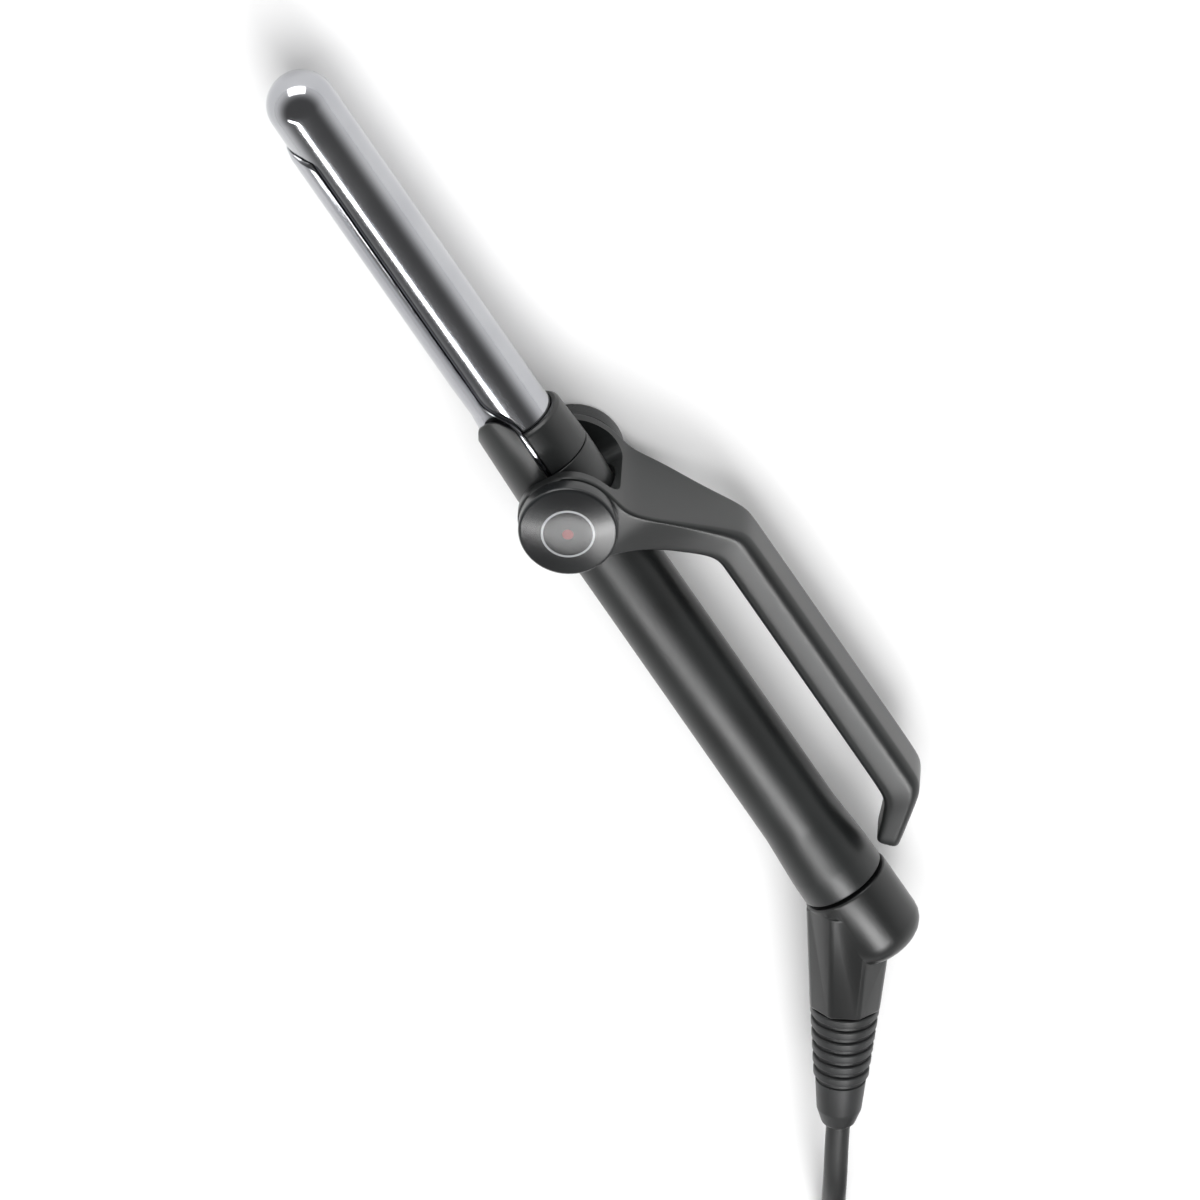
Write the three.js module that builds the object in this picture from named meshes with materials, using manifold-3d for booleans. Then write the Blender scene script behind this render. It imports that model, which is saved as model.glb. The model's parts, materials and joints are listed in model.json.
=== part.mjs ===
// A scissor-lever curling iron with a swivel cord, lying on its lower pivot cap.
// Millimetres. x runs along the iron from the lever's pivot towards the cord, y points to the
// finger lever, z is up. The origin is on the pivot axis, in the flat face of the lower cap.
import * as THREE from "three";
import { mergeVertices } from "three/addons/utils/BufferGeometryUtils.js";
import Module from "manifold-3d";

const wasm = await Module();
wasm.setup();

// ---- driving sizes ----
const GAP = 0.3; // clearance between pieces that touch
const SIDES = 32; // facets round a large turned piece
const SMALL_SIDES = 12; // facets round a small one
const FAR = 400; // longer than anything a cut has to pass through

const BARREL_R = 9.5;
const BARREL_WALL = 1;
const BARREL_TIP = -147;
const BARREL_REAR = -6;

const GUARD_FRONT = -26; // the heat guard runs from here to the neck
const NECK_FRONT = -12;
const NECK_REAR = 11;
const NECK_WALL = 2.4; // over the barrel's seat
const NECK_REAR_R = 11.3;
const GUARD_FRONT_WALL = 1.8;
const NEST_WALL = 0.8; // what is left of guard and neck under the blade cover
const NEST_TOP = 2.2; // and only below this height
const SPIGOT_LENGTH = 11;
const SPIGOT_WALL = 1.6;

const HANDLE_R = 10.95;
const HANDLE_END_R = 11.9;
const HANDLE_WALL = 2;
const HANDLE_REAR = 140.3;
const FLARE_LENGTH = 22;
const PARTING = 1; // the visible groove between handle and swivel housing

const HOUSING_R = 12.3;
const HOUSING_LENGTH = 23.5;
const HOUSING_WALL = 3;
const NOSE_ANGLE = THREE.MathUtils.degToRad(34);
const NOSE_START_R = 13;
const NOSE_END_R = 10.2;
const NOSE_LENGTH = 35.4; // from where the nose's axis leaves the iron's axis
const APEX_SETBACK = 3.7; // of that point behind the housing's front
const RELIEF_LENGTH = 37.6;
const RELIEF_RIBS = 6;
const RIB_PITCH = 3.9;
const CORD_D = 6.5;

const CHEEK_WALL = 3.5;
const CHEEK_CLEARANCE = 1.3; // between the neck's largest radius and a cheek
const CHEEK_R = 13.5;
const ARM_CLEARANCE = 0.6; // between the neck's largest radius and the arm
const CAP_R = 13.4;
const CAP_HEIGHT = 6;
const CAP_WALL = 2;
const SCREW_R = 2;
const SCREW_HEAD_R = 4.6;
const BUSH_R = 4.3;
const BOSS_R = 5.4;
const INSERT_R = 3.4;

const GRIP_OUTER = 36; // finger grip, measured from the iron's axis
const GRIP_INNER = 24.7;
const GRIP_START = 32;
const GRIP_END = 123;
const GRIP_HALF_WIDTH = 8.5;
const TAIL_THICKNESS = 6;
const TAIL_END_Y = 14.6;

const BLADE_THICKNESS = 0.8;
const BLADE_CLEARANCE = 0.3; // of the closed blade over the barrel
const BLADE_TIP = -129;
const BLADE_HALF_ANGLE = THREE.MathUtils.degToRad(66);
const SHANK_EDGE_Y = 1.6; // the blade's shank reaches a little past the iron's middle
const EDGE_SHOWN = 0.9; // of the shank's bright edge beyond the cover
const COVER_FRONT = -34;
const COVER_REAR = -6;
const COVER_WALL = 1.4;

const LEAD_R = 0.8;
const LEAD_CLEARANCE = 0.75; // between a lead and the neck's bore
const SPINDLE_R = 3.6;
const RING_R = 4.6;

// ---- sizes that follow from those ----
const BARREL_SEAT_R = BARREL_R + GAP;
const NECK_FRONT_R = BARREL_SEAT_R + NECK_WALL;
const GUARD_FRONT_R = BARREL_SEAT_R + GUARD_FRONT_WALL;
const NEST_R = BARREL_SEAT_R + NEST_WALL;
const ARM_CLEARANCE_R = NECK_FRONT_R + ARM_CLEARANCE;
const CHEEK_INNER = NECK_FRONT_R + CHEEK_CLEARANCE;
const CHEEK_OUTER = CHEEK_INNER + CHEEK_WALL;
const CAP_BASE = CHEEK_OUTER + GAP;
const CAP_FACE = CAP_BASE + CAP_HEIGHT;
const AXIS_Z = CAP_FACE; // height of the iron's axis over the face it lies on
const HOUSING_FRONT = HANDLE_REAR + PARTING;
const APEX_X = HOUSING_FRONT + APEX_SETBACK;
const BARREL_BORE = BARREL_R - BARREL_WALL;
const HANDLE_BORE = HANDLE_R - HANDLE_WALL;
const SPIGOT_R = HANDLE_BORE - GAP;
const CORE_BORE = SPIGOT_R - SPIGOT_WALL; // through the neck's spigot, for the leads
const LEAD_OFFSET = CORE_BORE - LEAD_R - LEAD_CLEARANCE;
const SHANK_INNER = NEST_R + GAP;
const SHANK_OUTER = SHANK_INNER + BLADE_THICKNESS;
const COVER_INNER = SHANK_OUTER + GAP;
const COVER_OUTER = COVER_INNER + COVER_WALL;

// ---- solids ----
function solidOf(geometry) {
  const bare = geometry.index ? geometry.toNonIndexed() : geometry.clone();
  bare.deleteAttribute("normal");
  bare.deleteAttribute("uv");
  const merged = mergeVertices(bare, 1e-4);
  const build = (triVerts) =>
    new wasm.Manifold(
      new wasm.Mesh({ numProp: 3, vertProperties: merged.attributes.position.array, triVerts }),
    );
  const corners = new Uint32Array(merged.index.array);
  const made = build(corners);
  return made.volume() > 0 ? made : build(corners.reverse()); // faces point outwards
}

function geometryOf(solid) {
  const { vertProperties, numProp, numVert, triVerts } = solid.getMesh();
  const places = new Float32Array(numVert * 3);
  for (let i = 0; i < numVert; i++) {
    places.set(vertProperties.subarray(i * numProp, i * numProp + 3), i * 3);
  }
  const geometry = new THREE.BufferGeometry();
  geometry.setAttribute("position", new THREE.BufferAttribute(places, 3));
  geometry.setIndex(new THREE.BufferAttribute(triVerts, 1));
  return geometry;
}

function turned(profile, sides) {
  return new THREE.LatheGeometry(
    profile.map(([r, along]) => new THREE.Vector2(r, along)),
    sides,
  );
}

// A profile of [x, radius] points turned about the iron's axis.
function turnedX(profile, sides = SIDES) {
  const geometry = turned(profile.map(([x, r]) => [r, x]), sides);
  return solidOf(geometry.rotateZ(-Math.PI / 2).translate(0, 0, AXIS_Z));
}

// A profile of [radius, distance] points turned about the pivot axis, distance from the iron's axis.
function turnedZ(profile, side = 1, sides = SMALL_SIDES) {
  const geometry = turned(profile, sides).rotateX(Math.PI / 2);
  return solidOf(geometry.scale(1, 1, side).translate(0, 0, AXIS_Z));
}

function rodX(x0, x1, r, y = 0, z = 0, sides = SMALL_SIDES) {
  const profile = [[0, x0], [r, x0], [r, x1], [0, x1]];
  return solidOf(turned(profile, sides).rotateZ(-Math.PI / 2).translate(0, y, AXIS_Z + z));
}

// A ring about the iron's axis.
const sleeveX = (x0, x1, inner, outer, sides = SMALL_SIDES) =>
  turnedX([[x0, inner], [x0, outer], [x1, outer], [x1, inner], [x0, inner]], sides);

// A box given by its x, y and z limits, z counted from the iron's axis.
function box([x0, x1], [y0, y1], [z0, z1]) {
  const geometry = new THREE.BoxGeometry(x1 - x0, y1 - y0, z1 - z0);
  return solidOf(geometry.translate((x0 + x1) / 2, (y0 + y1) / 2, AXIS_Z + (z0 + z1) / 2));
}

// An outline of [x, y, fillet] corners.
function outline(corners) {
  const shape = new THREE.Shape();
  corners.forEach(([x, y, fillet = 0], i) => {
    const here = new THREE.Vector2(x, y);
    const towards = ([px, py]) => new THREE.Vector2(px, py).sub(here);
    const back = towards(corners.at(i - 1));
    const ahead = towards(corners[(i + 1) % corners.length]);
    const start = here.clone().add(back.setLength(Math.min(fillet, back.length() / 2)));
    const end = here.clone().add(ahead.setLength(Math.min(fillet, ahead.length() / 2)));
    if (i === 0) shape.moveTo(start.x, start.y);
    else shape.lineTo(start.x, start.y);
    if (fillet > 0) shape.quadraticCurveTo(x, y, end.x, end.y);
  });
  return shape;
}

const extruded = (corners, depth) =>
  new THREE.ExtrudeGeometry(outline(corners), { depth, bevelEnabled: false, curveSegments: 5 });

// An outline in x and z, drawn through everything in y.
const plan = (corners) =>
  solidOf(extruded(corners, FAR).rotateX(Math.PI / 2).translate(0, FAR / 2, AXIS_Z));

const belowY = (y) => box([-FAR, FAR], [-FAR, y], [-FAR, FAR]);

// An outline in x and y, drawn through everything in z.
const sideView = (corners) => solidOf(extruded(corners, FAR).translate(0, 0, AXIS_Z - FAR / 2));

// ---- materials ----
const finish = (color, roughness, metalness = 0) =>
  new THREE.MeshStandardMaterial({ color, roughness, metalness });
const CHROME = finish(0x8c8c90, 0.12, 1);
const STEEL = finish(0xb4b6b9, 0.3, 1);
const BRASS = finish(0xb08d4a, 0.35, 1);
const ALUMINIUM = finish(0xc4c6c8, 0.45, 1);
const BLACK_PLASTIC = finish(0x2e302f, 0.42);
const WHITE_CERAMIC = finish(0xe8e4da, 0.6);
const RED_SILICONE = finish(0xa8352c, 0.6);
const BLUE_SILICONE = finish(0x2f4f86, 0.6);
const BLACK_RUBBER = finish(0x1c1d1e, 0.65);

const iron = new THREE.Group();
const handle = new THREE.Group();
const lever = new THREE.Group();
const swivel = new THREE.Group();
const cordSet = new THREE.Group();
iron.add(handle, lever, swivel, cordSet);

function place(group, name, solid, material) {
  const mesh = new THREE.Mesh(geometryOf(solid), material);
  mesh.name = name;
  group.add(mesh);
  return mesh;
}

// ---- barrel and what is in it ----
function dome(r, centreX, steps) {
  return Array.from({ length: steps + 1 }, (_, i) => {
    const turn = (i / steps) * (Math.PI / 2);
    return [centreX - r * Math.cos(turn), i === 0 ? 0 : r * Math.sin(turn)];
  });
}

const DOME_X = BARREL_TIP + BARREL_R;
place(handle, "barrel_tube", turnedX([
  ...dome(BARREL_R, DOME_X, 8),
  [BARREL_REAR, BARREL_R],
  [BARREL_REAR, BARREL_BORE],
  ...dome(BARREL_BORE, DOME_X, 6).reverse(),
]), CHROME);

const HEATER_FRONT = -112;
const HEATER_REAR = -26;
const HEATER_HALF_THICKNESS = 1.2;
const HEATER_HALF_WIDTH = 6.2;
const FUSE_R = 1.8;
const FUSE_X = [-22, -16];
const BARREL_BUSH_X = [-14, -7];
place(
  handle,
  "heater_plate",
  box([HEATER_FRONT, HEATER_REAR], [-HEATER_HALF_WIDTH, HEATER_HALF_WIDTH],
    [-HEATER_HALF_THICKNESS, HEATER_HALF_THICKNESS]),
  WHITE_CERAMIC,
);
for (const [name, side] of [["heat_spreader_upper", 1], ["heat_spreader_lower", -1]]) {
  const span = [HEATER_HALF_THICKNESS + GAP, FAR].map((z) => z * side).sort((a, b) => a - b);
  const half = rodX(HEATER_FRONT, HEATER_REAR, BARREL_BORE - GAP)
    .intersect(box([-FAR, FAR], [-FAR, FAR], span));
  place(handle, name, half, ALUMINIUM);
}
place(handle, "thermal_fuse", rodX(...FUSE_X, FUSE_R), STEEL);

const leadHole = (side) => rodX(-FAR, FAR, LEAD_R + GAP, 0, side * LEAD_OFFSET);
place(
  handle,
  "barrel_bush",
  rodX(...BARREL_BUSH_X, BARREL_BORE - GAP).subtract(leadHole(1)).subtract(leadHole(-1)),
  WHITE_CERAMIC,
);

// ---- heat guard, neck and handle ----
// The part of a turned piece that lies under the blade cover is turned down to NEST_R.
const nested = (solid, x0, x1) =>
  solid.subtract(sleeveX(x0 - 1, x1, NEST_R, FAR, SIDES).intersect(belowY(NEST_TOP)));

const GUARD_LIP = 0.8;
place(handle, "heat_guard", nested(turnedX([
  [GUARD_FRONT, BARREL_SEAT_R],
  [GUARD_FRONT, GUARD_FRONT_R - GUARD_LIP],
  [GUARD_FRONT + GUARD_LIP, GUARD_FRONT_R],
  [NECK_FRONT - GAP, NECK_FRONT_R],
  [NECK_FRONT - GAP, BARREL_SEAT_R],
  [GUARD_FRONT, BARREL_SEAT_R],
]), GUARD_FRONT, NECK_FRONT), BLACK_PLASTIC);

const SPIGOT_END = NECK_REAR + SPIGOT_LENGTH;
const HANDLE_SCREW_X = NECK_REAR + SPIGOT_LENGTH / 2;
const HANDLE_SCREW_HEAD_R = 2.4;
const HANDLE_SCREW_R = 1.2;
const radialHole = (x, r, side) =>
  solidOf(new THREE.CylinderGeometry(r, r, FAR, SMALL_SIDES)
    .rotateX(Math.PI / 2)
    .translate(x, 0, AXIS_Z + (side * FAR) / 2));

const neck = turnedX([
  [NECK_FRONT, BARREL_SEAT_R],
  [NECK_FRONT, NECK_FRONT_R],
  [NECK_FRONT + 5, NECK_FRONT_R],
  [NECK_REAR, NECK_REAR_R],
  [NECK_REAR, SPIGOT_R],
  [SPIGOT_END, SPIGOT_R],
  [SPIGOT_END, CORE_BORE],
  [BARREL_REAR + GAP, CORE_BORE],
  [BARREL_REAR + GAP, BARREL_SEAT_R],
  [NECK_FRONT, BARREL_SEAT_R],
]);
const BOSS_HEIGHT = CHEEK_INNER - GAP;
const boss = turnedZ([[0, -BOSS_HEIGHT], [BOSS_R, -BOSS_HEIGHT], [BOSS_R, BOSS_HEIGHT], [0, BOSS_HEIGHT]])
  .subtract(rodX(-FAR, FAR, CORE_BORE + GAP, 0, 0, SIDES));
const insertHole = turnedZ([[0, -FAR], [INSERT_R + GAP, -FAR], [INSERT_R + GAP, FAR], [0, FAR]]);
place(
  handle,
  "neck_sleeve",
  nested(neck, NECK_FRONT, NECK_REAR)
    .add(boss)
    .subtract(insertHole)
    .subtract(radialHole(HANDLE_SCREW_X, HANDLE_SCREW_R + GAP, -1)),
  BLACK_PLASTIC,
);

place(handle, "handle_tube", turnedX([
  [NECK_REAR + GAP, HANDLE_BORE],
  [NECK_REAR + GAP, HANDLE_R],
  [HANDLE_REAR - FLARE_LENGTH, HANDLE_R],
  [HANDLE_REAR - FLARE_LENGTH / 3, HANDLE_END_R - 0.1],
  [HANDLE_REAR, HANDLE_END_R],
  [HANDLE_REAR, HANDLE_BORE],
  [NECK_REAR + GAP, HANDLE_BORE],
]).subtract(radialHole(HANDLE_SCREW_X, HANDLE_SCREW_HEAD_R + GAP, -1)), BLACK_PLASTIC);

place(handle, "handle_screw", turnedZ([
  [0, CORE_BORE + GAP],
  [HANDLE_SCREW_R, CORE_BORE + GAP],
  [HANDLE_SCREW_R, HANDLE_BORE + GAP],
  [HANDLE_SCREW_HEAD_R, HANDLE_BORE + 2 * GAP],
  [HANDLE_SCREW_HEAD_R, HANDLE_R - GAP],
  [0, HANDLE_R - GAP],
], -1).translate([HANDLE_SCREW_X, 0, 0]), STEEL);

// ---- slip contacts in the handle's end ----
const fromRear = (...places) => places.map((x) => HANDLE_REAR + x);
const HOLDER_X = fromRear(-21.3, -13.3);
const LIVE_RING_X = fromRear(-10.3, -7.3);
const NEUTRAL_RING_X = fromRear(-5.3, -2.3);
const BEARING_X = fromRear(-1.7, 0.4);
const SPINDLE_X = fromRear(-12.3, 12.7);
const CLIP_X = fromRear(-11.9, -11.1);
const SPINDLE_FLANGE_R = 6;
const SPINDLE_BORE = 2.2;
const BRUSH_THICKNESS = 0.5;
const BRUSH_HALF_WIDTH = 1.5;
const SPINDLE_HOLE_R = SPINDLE_R + GAP;

place(
  handle,
  "brush_holder",
  sleeveX(...HOLDER_X, SPINDLE_HOLE_R, HANDLE_BORE - GAP, SIDES)
    .subtract(leadHole(1))
    .subtract(leadHole(-1)),
  WHITE_CERAMIC,
);
for (const [pole, side, ringX, colour] of [
  ["live", 1, LIVE_RING_X, RED_SILICONE],
  ["neutral", -1, NEUTRAL_RING_X, BLUE_SILICONE],
]) {
  const start = HEATER_REAR + 2;
  place(handle, `lead_${pole}`, rodX(start, HOLDER_X[1], LEAD_R, 0, side * LEAD_OFFSET, 8), colour);
  const reach = [RING_R + GAP, RING_R + GAP + BRUSH_THICKNESS].map((z) => z * side);
  place(
    handle,
    `brush_${pole}`,
    box([HOLDER_X[1] + GAP, ringX[1]], [-BRUSH_HALF_WIDTH, BRUSH_HALF_WIDTH],
      reach.sort((a, b) => a - b)),
    BRASS,
  );
  place(swivel, `contact_ring_${pole}`, sleeveX(...ringX, SPINDLE_HOLE_R, RING_R), BRASS);
}
place(handle, "swivel_bearing", sleeveX(...BEARING_X, SPINDLE_HOLE_R, HANDLE_BORE - GAP, SIDES),
  BLACK_PLASTIC);

// ---- swivel housing, spindle and strain relief ----
place(swivel, "spindle_clip", sleeveX(...CLIP_X, SPINDLE_HOLE_R, RING_R), STEEL);
const CAVITY_FRONT = HOUSING_FRONT + HOUSING_WALL;
const CAVITY_REAR = HOUSING_FRONT + HOUSING_LENGTH - 2 * HOUSING_WALL;
place(swivel, "swivel_spindle", turnedX([
  [SPINDLE_X[0], SPINDLE_BORE],
  [SPINDLE_X[0], SPINDLE_R],
  [CAVITY_FRONT + GAP, SPINDLE_R],
  [CAVITY_FRONT + GAP, SPINDLE_FLANGE_R],
  [CAVITY_FRONT + 2, SPINDLE_FLANGE_R],
  [CAVITY_FRONT + 2, SPINDLE_R],
  [SPINDLE_X[1], SPINDLE_R],
  [SPINDLE_X[1], SPINDLE_BORE],
  [SPINDLE_X[0], SPINDLE_BORE],
], SMALL_SIDES), STEEL);

// The nose's own frame: x along the nose from the apex.
function alongNose(geometry) {
  return geometry.rotateZ(-Math.PI / 2).rotateZ(-NOSE_ANGLE).translate(APEX_X, 0, AXIS_Z);
}
const noseTurned = (profile, sides) =>
  solidOf(alongNose(turned(profile.map(([x, r]) => [r, x]), sides)));

const NOSE_OVERLAP = 2;
const NOSE_BORE = 4.6;
const HOUSING_EDGE = 6.5; // rounding of the housing's rear end
const housingEnd = HOUSING_FRONT + HOUSING_LENGTH;
const roundedEnd = Array.from({ length: 6 }, (_, i) => {
  const turn = (i / 5) * (Math.PI / 2);
  return [
    housingEnd - HOUSING_EDGE * (1 - Math.sin(turn)),
    HOUSING_R - HOUSING_EDGE * (1 - Math.cos(turn)),
  ];
});
const nose = solidOf(alongNose(
  new THREE.CylinderGeometry(NOSE_END_R, NOSE_START_R, NOSE_LENGTH - NOSE_OVERLAP, 8)
    .rotateY(Math.PI / 8)
    .translate(0, (NOSE_LENGTH + NOSE_OVERLAP) / 2, 0),
));
const housingBody = turnedX([
  [HOUSING_FRONT, 0],
  [HOUSING_FRONT, HOUSING_R],
  ...roundedEnd,
  [housingEnd, 0],
]);
const cavity = turnedX([
  [CAVITY_FRONT, 0],
  [CAVITY_FRONT, HOUSING_R - HOUSING_WALL],
  [CAVITY_REAR, HOUSING_R - 1.5 * HOUSING_WALL],
  [CAVITY_REAR, 0],
]);
place(
  swivel,
  "swivel_housing",
  housingBody
    .add(nose.intersect(box([HOUSING_FRONT, FAR], [-FAR, FAR], [-FAR, FAR])))
    .subtract(cavity)
    .subtract(rodX(HOUSING_FRONT - 1, CAVITY_FRONT + 1, SPINDLE_HOLE_R))
    .subtract(noseTurned([[0, 0], [0, NOSE_BORE], [NOSE_LENGTH + 1, NOSE_BORE], [NOSE_LENGTH + 1, 0]],
      SMALL_SIDES)),
  BLACK_PLASTIC,
);
const CLAMP_X = [APEX_X + 3, APEX_X + 7];
place(swivel, "cord_clamp", box(CLAMP_X, [-5, 5], [SPINDLE_R + GAP, SPINDLE_R + 2.2]), STEEL);

const RELIEF_START = NOSE_LENGTH + GAP;
const RELIEF_END = RELIEF_START + RELIEF_LENGTH;
const RELIEF_START_R = 9.4;
const RELIEF_END_R = 4.4;
const RIB_SHRINK = 0.35; // each rib is this much smaller than the one before
const GROOVE_DEPTH = 1.3;
const SLEEVE_START_R = 6.9;
const SLEEVE_END_R = 6.1;
const SLEEVE_TAPER = 5; // the sleeve's last stretch closes in on the cord
const ribs = Array.from({ length: RELIEF_RIBS }, (_, i) => {
  const start = RELIEF_START + i * RIB_PITCH;
  const r = RELIEF_START_R - i * RIB_SHRINK;
  const end = start + 0.6 * RIB_PITCH;
  return [[start, r], [end, r], [end, r - GROOVE_DEPTH], [start + RIB_PITCH, r - GROOVE_DEPTH]];
}).flat();
place(swivel, "strain_relief", noseTurned([
  [NOSE_LENGTH - 6, 0],
  [NOSE_LENGTH - 6, NOSE_BORE - GAP],
  [RELIEF_START, NOSE_BORE - GAP],
  ...ribs,
  [RELIEF_START + RELIEF_RIBS * RIB_PITCH, SLEEVE_START_R],
  [RELIEF_END - SLEEVE_TAPER, SLEEVE_END_R],
  [RELIEF_END, RELIEF_END_R],
  [RELIEF_END, 0],
], SMALL_SIDES), BLACK_RUBBER);

// ---- lever: yoke, arm, finger grip and tail in one moulding ----
const tailStep = TAIL_THICKNESS * Math.SQRT1_2;
const tailRun = GRIP_INNER - TAIL_END_Y;
const leverSide = solidOf(
  extruded([
    [-CHEEK_R, -CHEEK_R, 10.5],
    [CHEEK_R, -CHEEK_R, 10.5],
    [CHEEK_R + 1.5, 7, 5],
    [GRIP_START + 1, GRIP_INNER, 6],
    [GRIP_END, GRIP_INNER, 3],
    [GRIP_END + tailRun, TAIL_END_Y, 1.5],
    [GRIP_END + tailRun + tailStep, TAIL_END_Y + tailStep, 1.5],
    [GRIP_END + 0.5, GRIP_OUTER, 7],
    [GRIP_START, GRIP_OUTER, 8],
    [4.5, 14.7, 5],
    [-3.5, 14.4, 5],
    [-CHEEK_R, 1, 6],
  ], 2 * CHEEK_OUTER).translate(0, 0, AXIS_Z - CHEEK_OUTER),
);
const WIDE_UNTIL = 8;
const TAIL_HALF_WIDTH = 6.5;
const leverWidth = plan([
  [-2 * CHEEK_R, -CHEEK_OUTER],
  [WIDE_UNTIL, -CHEEK_OUTER, 12],
  [GRIP_START + 2, -GRIP_HALF_WIDTH, 12],
  [GRIP_END, -GRIP_HALF_WIDTH, 12],
  [GRIP_END + 2 * tailRun, -TAIL_HALF_WIDTH],
  [GRIP_END + 2 * tailRun, TAIL_HALF_WIDTH],
  [GRIP_END, GRIP_HALF_WIDTH, 12],
  [GRIP_START + 2, GRIP_HALF_WIDTH, 12],
  [WIDE_UNTIL, CHEEK_OUTER, 12],
  [-2 * CHEEK_R, CHEEK_OUTER],
]);
const FORK_END = 1.8; // the fork's slot ends just behind the pivot
const forkSlot = plan([
  [-2 * CHEEK_R, -CHEEK_INNER],
  [FORK_END, -CHEEK_INNER, 6],
  [FORK_END, CHEEK_INNER, 6],
  [-2 * CHEEK_R, CHEEK_INNER],
]);
const underHandle = box([-2 * CHEEK_R, 2 * CHEEK_R], [-FAR, 0], [-CHEEK_INNER, CHEEK_INNER]);
const bossRoom = turnedZ([
  [0, -CHEEK_INNER], [BOSS_R + GAP, -CHEEK_INNER], [BOSS_R + GAP, CHEEK_INNER], [0, CHEEK_INNER],
]);
const bushHole = turnedZ([[0, -FAR], [BUSH_R + GAP, -FAR], [BUSH_R + GAP, FAR], [0, FAR]]);
place(
  lever,
  "lever_body",
  leverSide
    .intersect(leverWidth)
    .subtract(rodX(-2 * CHEEK_R, GRIP_START + 20, ARM_CLEARANCE_R, 0, 0, SIDES))
    .subtract(forkSlot)
    .subtract(underHandle)
    .subtract(bossRoom)
    .subtract(bushHole),
  BLACK_PLASTIC,
);

// ---- blade, cover and rivets ----
const BLADE_INNER = BARREL_R + BLADE_CLEARANCE;
const BLADE_OUTER = BLADE_INNER + BLADE_THICKNESS;
const BLADE_TIP_ROUND = 8;
const BLADE_EDGE_Y = -BLADE_OUTER * Math.cos(BLADE_HALF_ANGLE);
const BLADE_HALF_WIDTH = BLADE_OUTER * Math.sin(BLADE_HALF_ANGLE);
const SHANK_REAR = COVER_REAR - 1;
const FLARE_START = COVER_FRONT + 2; // where the blade starts to step out over the heat guard
const FLARE_END = GUARD_FRONT - GAP;
const RIVET_R = 1.5;
const RIVET_X = [-21, -13];
const rivetHole = (x) =>
  solidOf(new THREE.CylinderGeometry(RIVET_R + GAP, RIVET_R + GAP, 6, SMALL_SIDES)
    .translate(x, -(SHANK_INNER + COVER_OUTER) / 2, AXIS_Z));
place(
  lever,
  "clamp_blade",
  turnedX([
    [BLADE_TIP, BLADE_INNER], [BLADE_TIP, BLADE_OUTER], [FLARE_START, BLADE_OUTER],
    [FLARE_END, SHANK_OUTER], [SHANK_REAR, SHANK_OUTER], [SHANK_REAR, SHANK_INNER],
    [FLARE_END, SHANK_INNER], [FLARE_START, BLADE_INNER], [BLADE_TIP, BLADE_INNER],
  ])
    .intersect(sideView([
      [BLADE_TIP - 1, BLADE_EDGE_Y], [BLADE_TIP - 1, -FAR], [SHANK_REAR + 1, -FAR],
      [SHANK_REAR + 1, SHANK_EDGE_Y], [COVER_FRONT + 5, SHANK_EDGE_Y, 6],
      [COVER_FRONT - 4, BLADE_EDGE_Y, 6],
    ]))
    .intersect(plan([
      [BLADE_TIP, -BLADE_HALF_WIDTH, BLADE_TIP_ROUND], [BLADE_TIP, BLADE_HALF_WIDTH, BLADE_TIP_ROUND],
      [COVER_FRONT - 6, BLADE_HALF_WIDTH], [COVER_FRONT, FAR], [SHANK_REAR + 1, FAR],
      [SHANK_REAR + 1, -FAR], [COVER_FRONT, -FAR], [COVER_FRONT - 6, -BLADE_HALF_WIDTH],
    ]))
    .subtract(rivetHole(RIVET_X[0]))
    .subtract(rivetHole(RIVET_X[1])),
  CHROME,
);
const COVER_EDGE_Y = SHANK_EDGE_Y - EDGE_SHOWN;
const COVER_CROWN = COVER_FRONT + 8; // where the cover starts in the middle of its round side
place(
  lever,
  "blade_cover",
  turnedX([
    [COVER_FRONT, COVER_INNER], [COVER_FRONT, COVER_INNER + 0.6], [COVER_REAR, COVER_OUTER],
    [COVER_REAR, COVER_INNER], [COVER_FRONT, COVER_INNER],
  ])
    .intersect(sideView([
      [COVER_CROWN, -2 * COVER_OUTER], [COVER_CROWN, -COVER_OUTER, 1], [COVER_FRONT + 1, -8.5, 5],
      [COVER_FRONT - 1, -3, 3], [COVER_FRONT + 5, COVER_EDGE_Y, 5],
      [COVER_REAR + 1, COVER_EDGE_Y], [COVER_REAR + 1, -2 * COVER_OUTER],
    ]))
    .subtract(rivetHole(RIVET_X[0]))
    .subtract(rivetHole(RIVET_X[1])),
  BLACK_PLASTIC,
);
RIVET_X.forEach((x, i) => {
  const length = COVER_INNER + 1 - SHANK_INNER;
  const rivet = new THREE.CylinderGeometry(RIVET_R, RIVET_R, length, SMALL_SIDES)
    .translate(x, -(SHANK_INNER + length / 2), AXIS_Z);
  place(lever, ["blade_rivet_front", "blade_rivet_rear"][i], solidOf(rivet), STEEL);
});

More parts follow.
